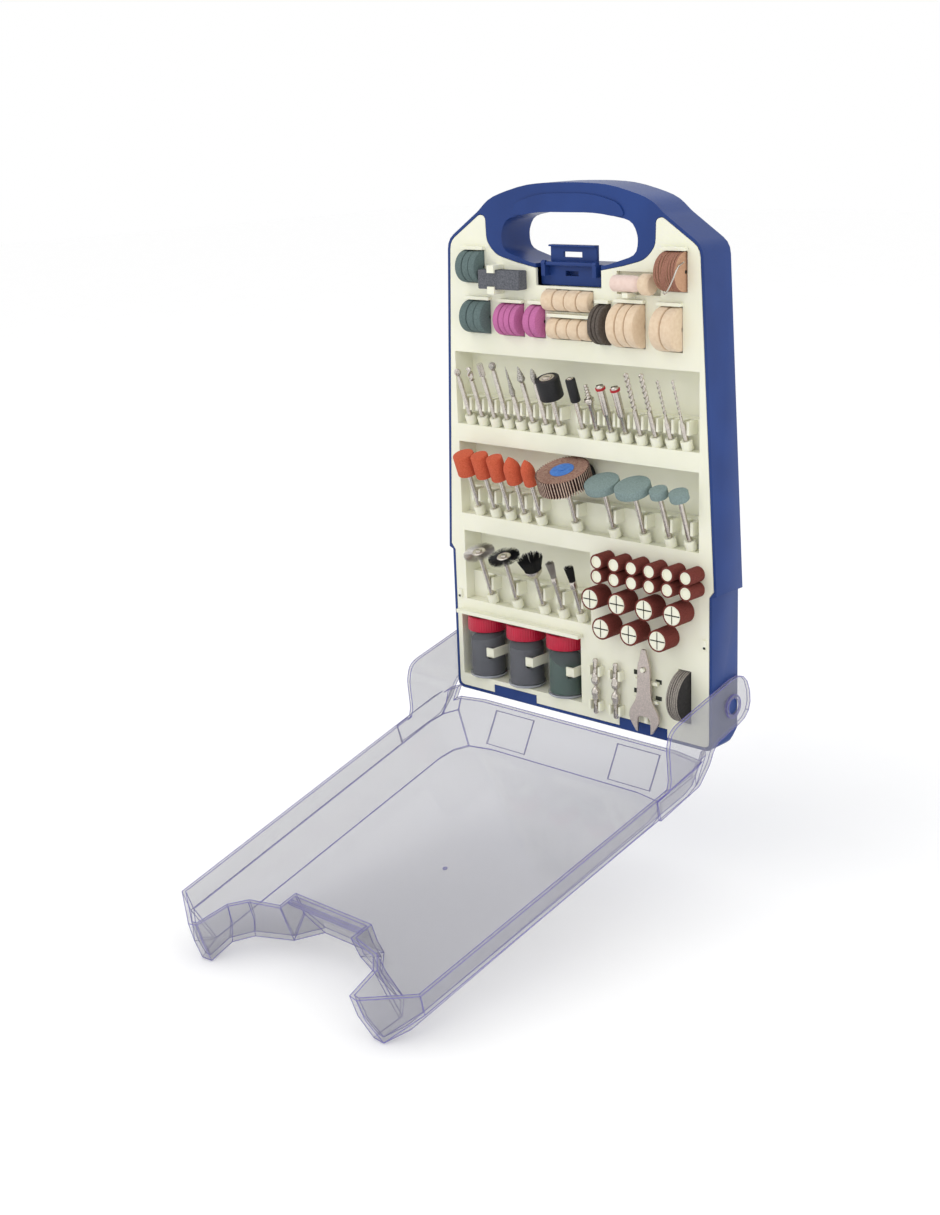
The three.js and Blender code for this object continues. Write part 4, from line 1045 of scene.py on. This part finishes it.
def bent_wire(points, radius, sides=10):
    """A round wire through points: rings square to the way at each point."""
    spine = np.array(points, float)
    way = np.gradient(spine, axis=0)
    way /= np.linalg.norm(way, axis=1, keepdims=True)
    u = np.cross(way, [0.31, 0.87, 0.38])
    u /= np.linalg.norm(u, axis=1, keepdims=True)
    v = np.cross(way, u)
    a = np.linspace(0, 2 * np.pi, sides, endpoint=False)
    rings = spine[:, None, :] + radius * (
        np.cos(a)[None, :, None] * v[:, None, :] + np.sin(a)[None, :, None] * u[:, None, :]
    )
    return grid(rings)


wire_path = [
    (88.2, -4, 291.0), (88.2, -8.6, 289.4), (88.0, -11.2, 286.6), (87.2, -12.4, 283.0),
    (85.6, -12.9, 279.4), (83.4, -12.6, 276.2), (81.6, -12.2, 274.2), (80.4, -12.0, 273.6),
    (79.6, -12.0, 274.4), (79.8, -12.0, 275.4),
]
make_piece("sanding_disc_wire", [bent_wire(wire_path, 0.45)], [STEEL])
print("sanding discs, cutting discs and their wire")

# %% [markdown]
# ### Sleeves, felts, stone and mandrels
# The large posts are split by a cross, so that the sleeve grips them; the split is painted
# shade, dark lines on the white post.


# %% Sleeves
SMALL_PLACES = [(28.4 + 13.35 * i, z) for z in (110.2, 100.9) for i in range(6)]
LARGE_PLACES = [(23 + 20.8 * i, 85.8) for i in range(4)]
LARGE_PLACES += [(31.2 + 21.6 * i, 68.1) for i in range(3)]
sleeves, posts = [], []
for places, radius, bore, post, split in [
    (SMALL_PLACES, 4.7, 3.6, 12.0, False), (LARGE_PLACES, 7.0, 5.85, 12.9, True),
]:
    tube = lathe([
        (radius, 0), (radius, 12.8), (radius - 0.15, 13.1), (bore + 0.1, 13.1), (bore, 12.9),
        (bore, post - 0.4),
    ], 44)
    shapes = [lathe([
        (bore + 0.05, post - 0.6), (bore - 0.15, post - 0.1), (bore - 0.5, post), (0, post),
    ], 44)]
    if split:
        # The split as painted shade: two dark bars crossing on the post's face.
        for wide, tall in [(bore - 0.5, 0.5), (0.5, bore - 0.5)]:
            shapes.append(block(-wide, wide, -tall, tall, post - 0.1, post + 0.04, 1))
    for x, z in places:
        sleeves.append(moved(tube, OUT_OF_TRAY, (x, 0, z)))
        posts += [moved(shape, OUT_OF_TRAY, (x, 0, z)) for shape in shapes]
make_piece("sanding_sleeves", sleeves, [SLEEVE_PAPER])
make_piece("sleeve_posts", posts, [CREAM, SHADOW])
print(len(sleeves), "sleeves")

# %% Felt points, dressing stone and collet mandrels
cone = lathe([
    (0, 0), (4.0, 0), (4.6, 0.4), (4.8, 1.0), (4.8, 14.6), (4.6, 16.4), (4.0, 18.8), (3.3, 20.0),
    (2.6, 20.2), (0, 20.2),
], 48)
finished("felt_cone", [moved(cone, ALONG_X, (38, -4.2, 277.6))], [PALE_FELT])
bob = lathe([
    (0, 0), (4.8, 0), (5.7, 0.35), (6.2, 1.3), (6.2, 5.6), (5.9, 6.7), (5.0, 7.5), (0, 7.5),
], 56)
finished("felt_bob", [moved(bob, ALONG_X, (59, -4.2, 277.6))], [FELT])
stone = block(-66.5, -32.5, -8, -0.3, 270.8, 282.4)
finished("dressing_stone", [stone], [DARK_STONE], round_mm=0.7)

half = [  # radius and distance from the middle of a mandrel, which is the same at both ends
    (1.15, 0.6), (2.1, 1.6), (2.6, 2.6), (2.8, 3.2), (2.8, 5.4), (2.3, 6.2), (2.3, 8.4),
    (1.7, 9.0), (1.7, 12.0), (1.45, 12.2), (1.45, 12.6), (1.7, 12.8), (1.7, 17.2), (1.3, 18.1),
    (0, 18.25),
]
mandrel = [lathe([*[(r, -h) for r, h in half[::-1]], *half])]
# Each end has a slit, painted shade: a dark strip on its side.
mandrel += [block(-0.18, 0.18, -1.74, -1.6, low, low + 5.4, 1) for low in (11.2, -17.0)]
for number, x in enumerate((18.4, 34.4), 1):
    node = f"collet_mandrel_{number}"
    placed = [moved(part, None, (x, -3.2, 25.75)) for part in mandrel]
    finished(node, placed, [STEEL, SHADOW], body=node)
carried_over("open_ended_wrench", WRENCH_STEEL, "wrench", 0.25)
print("felt points, stone, mandrels and wrench")

# %% [markdown]
# ### Jars of paste
# A jar is a thin clear cup with a thick foot. The paste inside has a tilted top, as it lies
# after the case was turned: its height at (x, y) is h + a x + b y. The cap has fine ribs: its
# radius is R + 0.12 cos(48 angle).


# %% Jars
JAR_R = 12.6
JAR_FOOT = (8, 11)  # y and z of a jar's foot
CAP_FOOT = (8, 43)


def paste(radius, low_z, high_z, tilt_x, tilt_y):
    """A filled cylinder whose top plane is tilted."""
    part = lathe([
        (0, low_z), (radius - 0.5, low_z), (radius, low_z + 0.6), (radius, high_z), (0, high_z),
    ], 48)
    points = part[0]
    top = points[:, 2] > high_z - 1e-6
    points[top, 2] += tilt_x * points[top, 0] + tilt_y * points[top, 1]
    return part


def ribbed_cap(radius):
    """A screw cap: ribs on its side, a rounded rim and a shallow dished top."""
    a = np.linspace(0, 2 * np.pi, 384, endpoint=False)
    profile = np.array([
        (radius - 1.2, 0.4), (radius - 0.15, 0.5), (radius, 1.0), (radius, 8.4),
        (radius - 0.35, 9.5), (radius - 1.1, 9.95), (radius - 1.8, 10.0), (radius - 2.4, 9.7),
        (0, 9.6),
    ])
    ribs = np.array([0, 0.5, 1, 1, 0.2, 0, 0, 0, 0])
    r = profile[:, :1] + 0.12 * ribs[:, None] * (np.cos(48 * a) - 1)[None, :]
    z = np.broadcast_to(profile[:, 1:], r.shape)
    return grid(np.stack([r * np.cos(a), r * np.sin(a), z], axis=-1))


wall = lathe([
    (0, 0), (JAR_R - 1.0, 0), (JAR_R - 0.3, 0.3), (JAR_R, 1.0), (JAR_R, 31), (JAR_R - 0.4, 31.6),
    (JAR_R - 1.5, 32), (JAR_R - 1.5, 38), (JAR_R - 2.6, 38), (JAR_R - 2.6, 32),
    (JAR_R - 1.2, 30.5), (JAR_R - 1.2, 1.6), (0, 1.2),
], 64)
thick_foot = lathe([
    (0, 0.05), (JAR_R - 1.0, 0.05), (JAR_R + 0.02, 1.0), (JAR_R + 0.02, 2.0),
], 64, 1)
FILLINGS = [  # finish, slope along x and height of the paste
    (DARK_POWDER, 0.1, 27.5), (DARK_POWDER, -0.05, 27.5), (GREEN_POWDER, -0.45, 24.5),
]
for number, (x, (filling, tilt, height)) in enumerate(zip(JAR_PLACES, FILLINGS), 1):
    jar = [moved(part, None, (x, *JAR_FOOT)) for part in (wall, thick_foot)]
    finished(f"jar_{number}", jar, [JAR_CLEAR, JAR_EDGE])
    filled = moved(paste(JAR_R - 1.3, 1.9, height, tilt, 0.12), None, (x, *JAR_FOOT))
    make_piece(f"jar_{number}_paste", [filled], [filling])
    node = f"jar_cap_{number}"
    cap = moved(ribbed_cap(JAR_R + 0.5), None, (x, *CAP_FOOT))
    finished(node, [cap], [CRIMSON], body=node)
print("three jars")

# %% [markdown]
# ### Lips, slots and other small things
# Above each pocket the tray has a lip that hoods the discs. Short dark plates of painted
# shade mark openings that go right through the tray or the shell.

# %% Small details
lips = [block(low_x, high_x, -3.4, 0.2, low_z, low_z + 2.0) for low_x, high_x, low_z in [
    (-85, -66.5, 293.9), (-83, -62.5, 263.1), (-54.5, -35, 262.4), (-30, -18.4, 262.4),
    (-15, 20, 255.4), (22.6, 32.8, 265.1), (36.8, 58.4, 266.3), (68, 85, 265.8),
    (71, 88.4, 297),
]]
make_piece("pocket_lips", lips, [CREAM], round_mm=0.2)
# Painted shade: thin dark plates on the face, one over each opening.
hole_shade_plates = [
    block(46.5, 50.5, -0.25, 0.1, 38.6, 41.6), block(63.2, 67.8, -0.25, 0.1, 35.6, 38.4),
    block(46.5, 50.5, -0.25, 0.1, 26.6, 29.6), block(63.2, 67.8, -0.25, 0.1, 25.0, 27.6),
    block(99.3, 101.1, -1.35, -1.1, 64.6, 66.0), block(-100.4, -98.6, -1.35, -1.1, 64.6, 66.0),
]
make_piece("painted_shade_in_openings", hole_shade_plates, [SHADOW], round_mm=0.1)
# A black disc stands upright on a ledge behind the flap wheel.
spare = lathe([
    (0, -0.6), (2, -0.6), (2, 0), (7.6, 0), (8.4, 0.6), (8.5, 1.4), (8.4, 2.3), (7.6, 2.9),
    (0, 2.9),
], 56)
spare = moved(spare, OUT_OF_TRAY, (-1.5, 15.4, 156))
make_piece("black_disc_behind_flap_wheel", [spare], [BLACK_RUBBER])
print("lips, slots and a spare disc")

# %% [markdown]
# Each standing tool is held by a short cream cup round its shank. The cup leans with the tool,
# and its centre is the tool's foot.

# %% Socket cups
cup = lathe([
    (0, -2.7), (3.5, -2.7), (3.65, 2.9), (3.45, 3.3), (2.3, 3.35), (2.0, 3.1), (1.95, 2.4),
    (0, 2.4),
], 36)
make_piece("socket_cups", [moved(cup, LEAN, foot) for foot in FEET], [CREAM])
print(len(FEET), "socket cups")
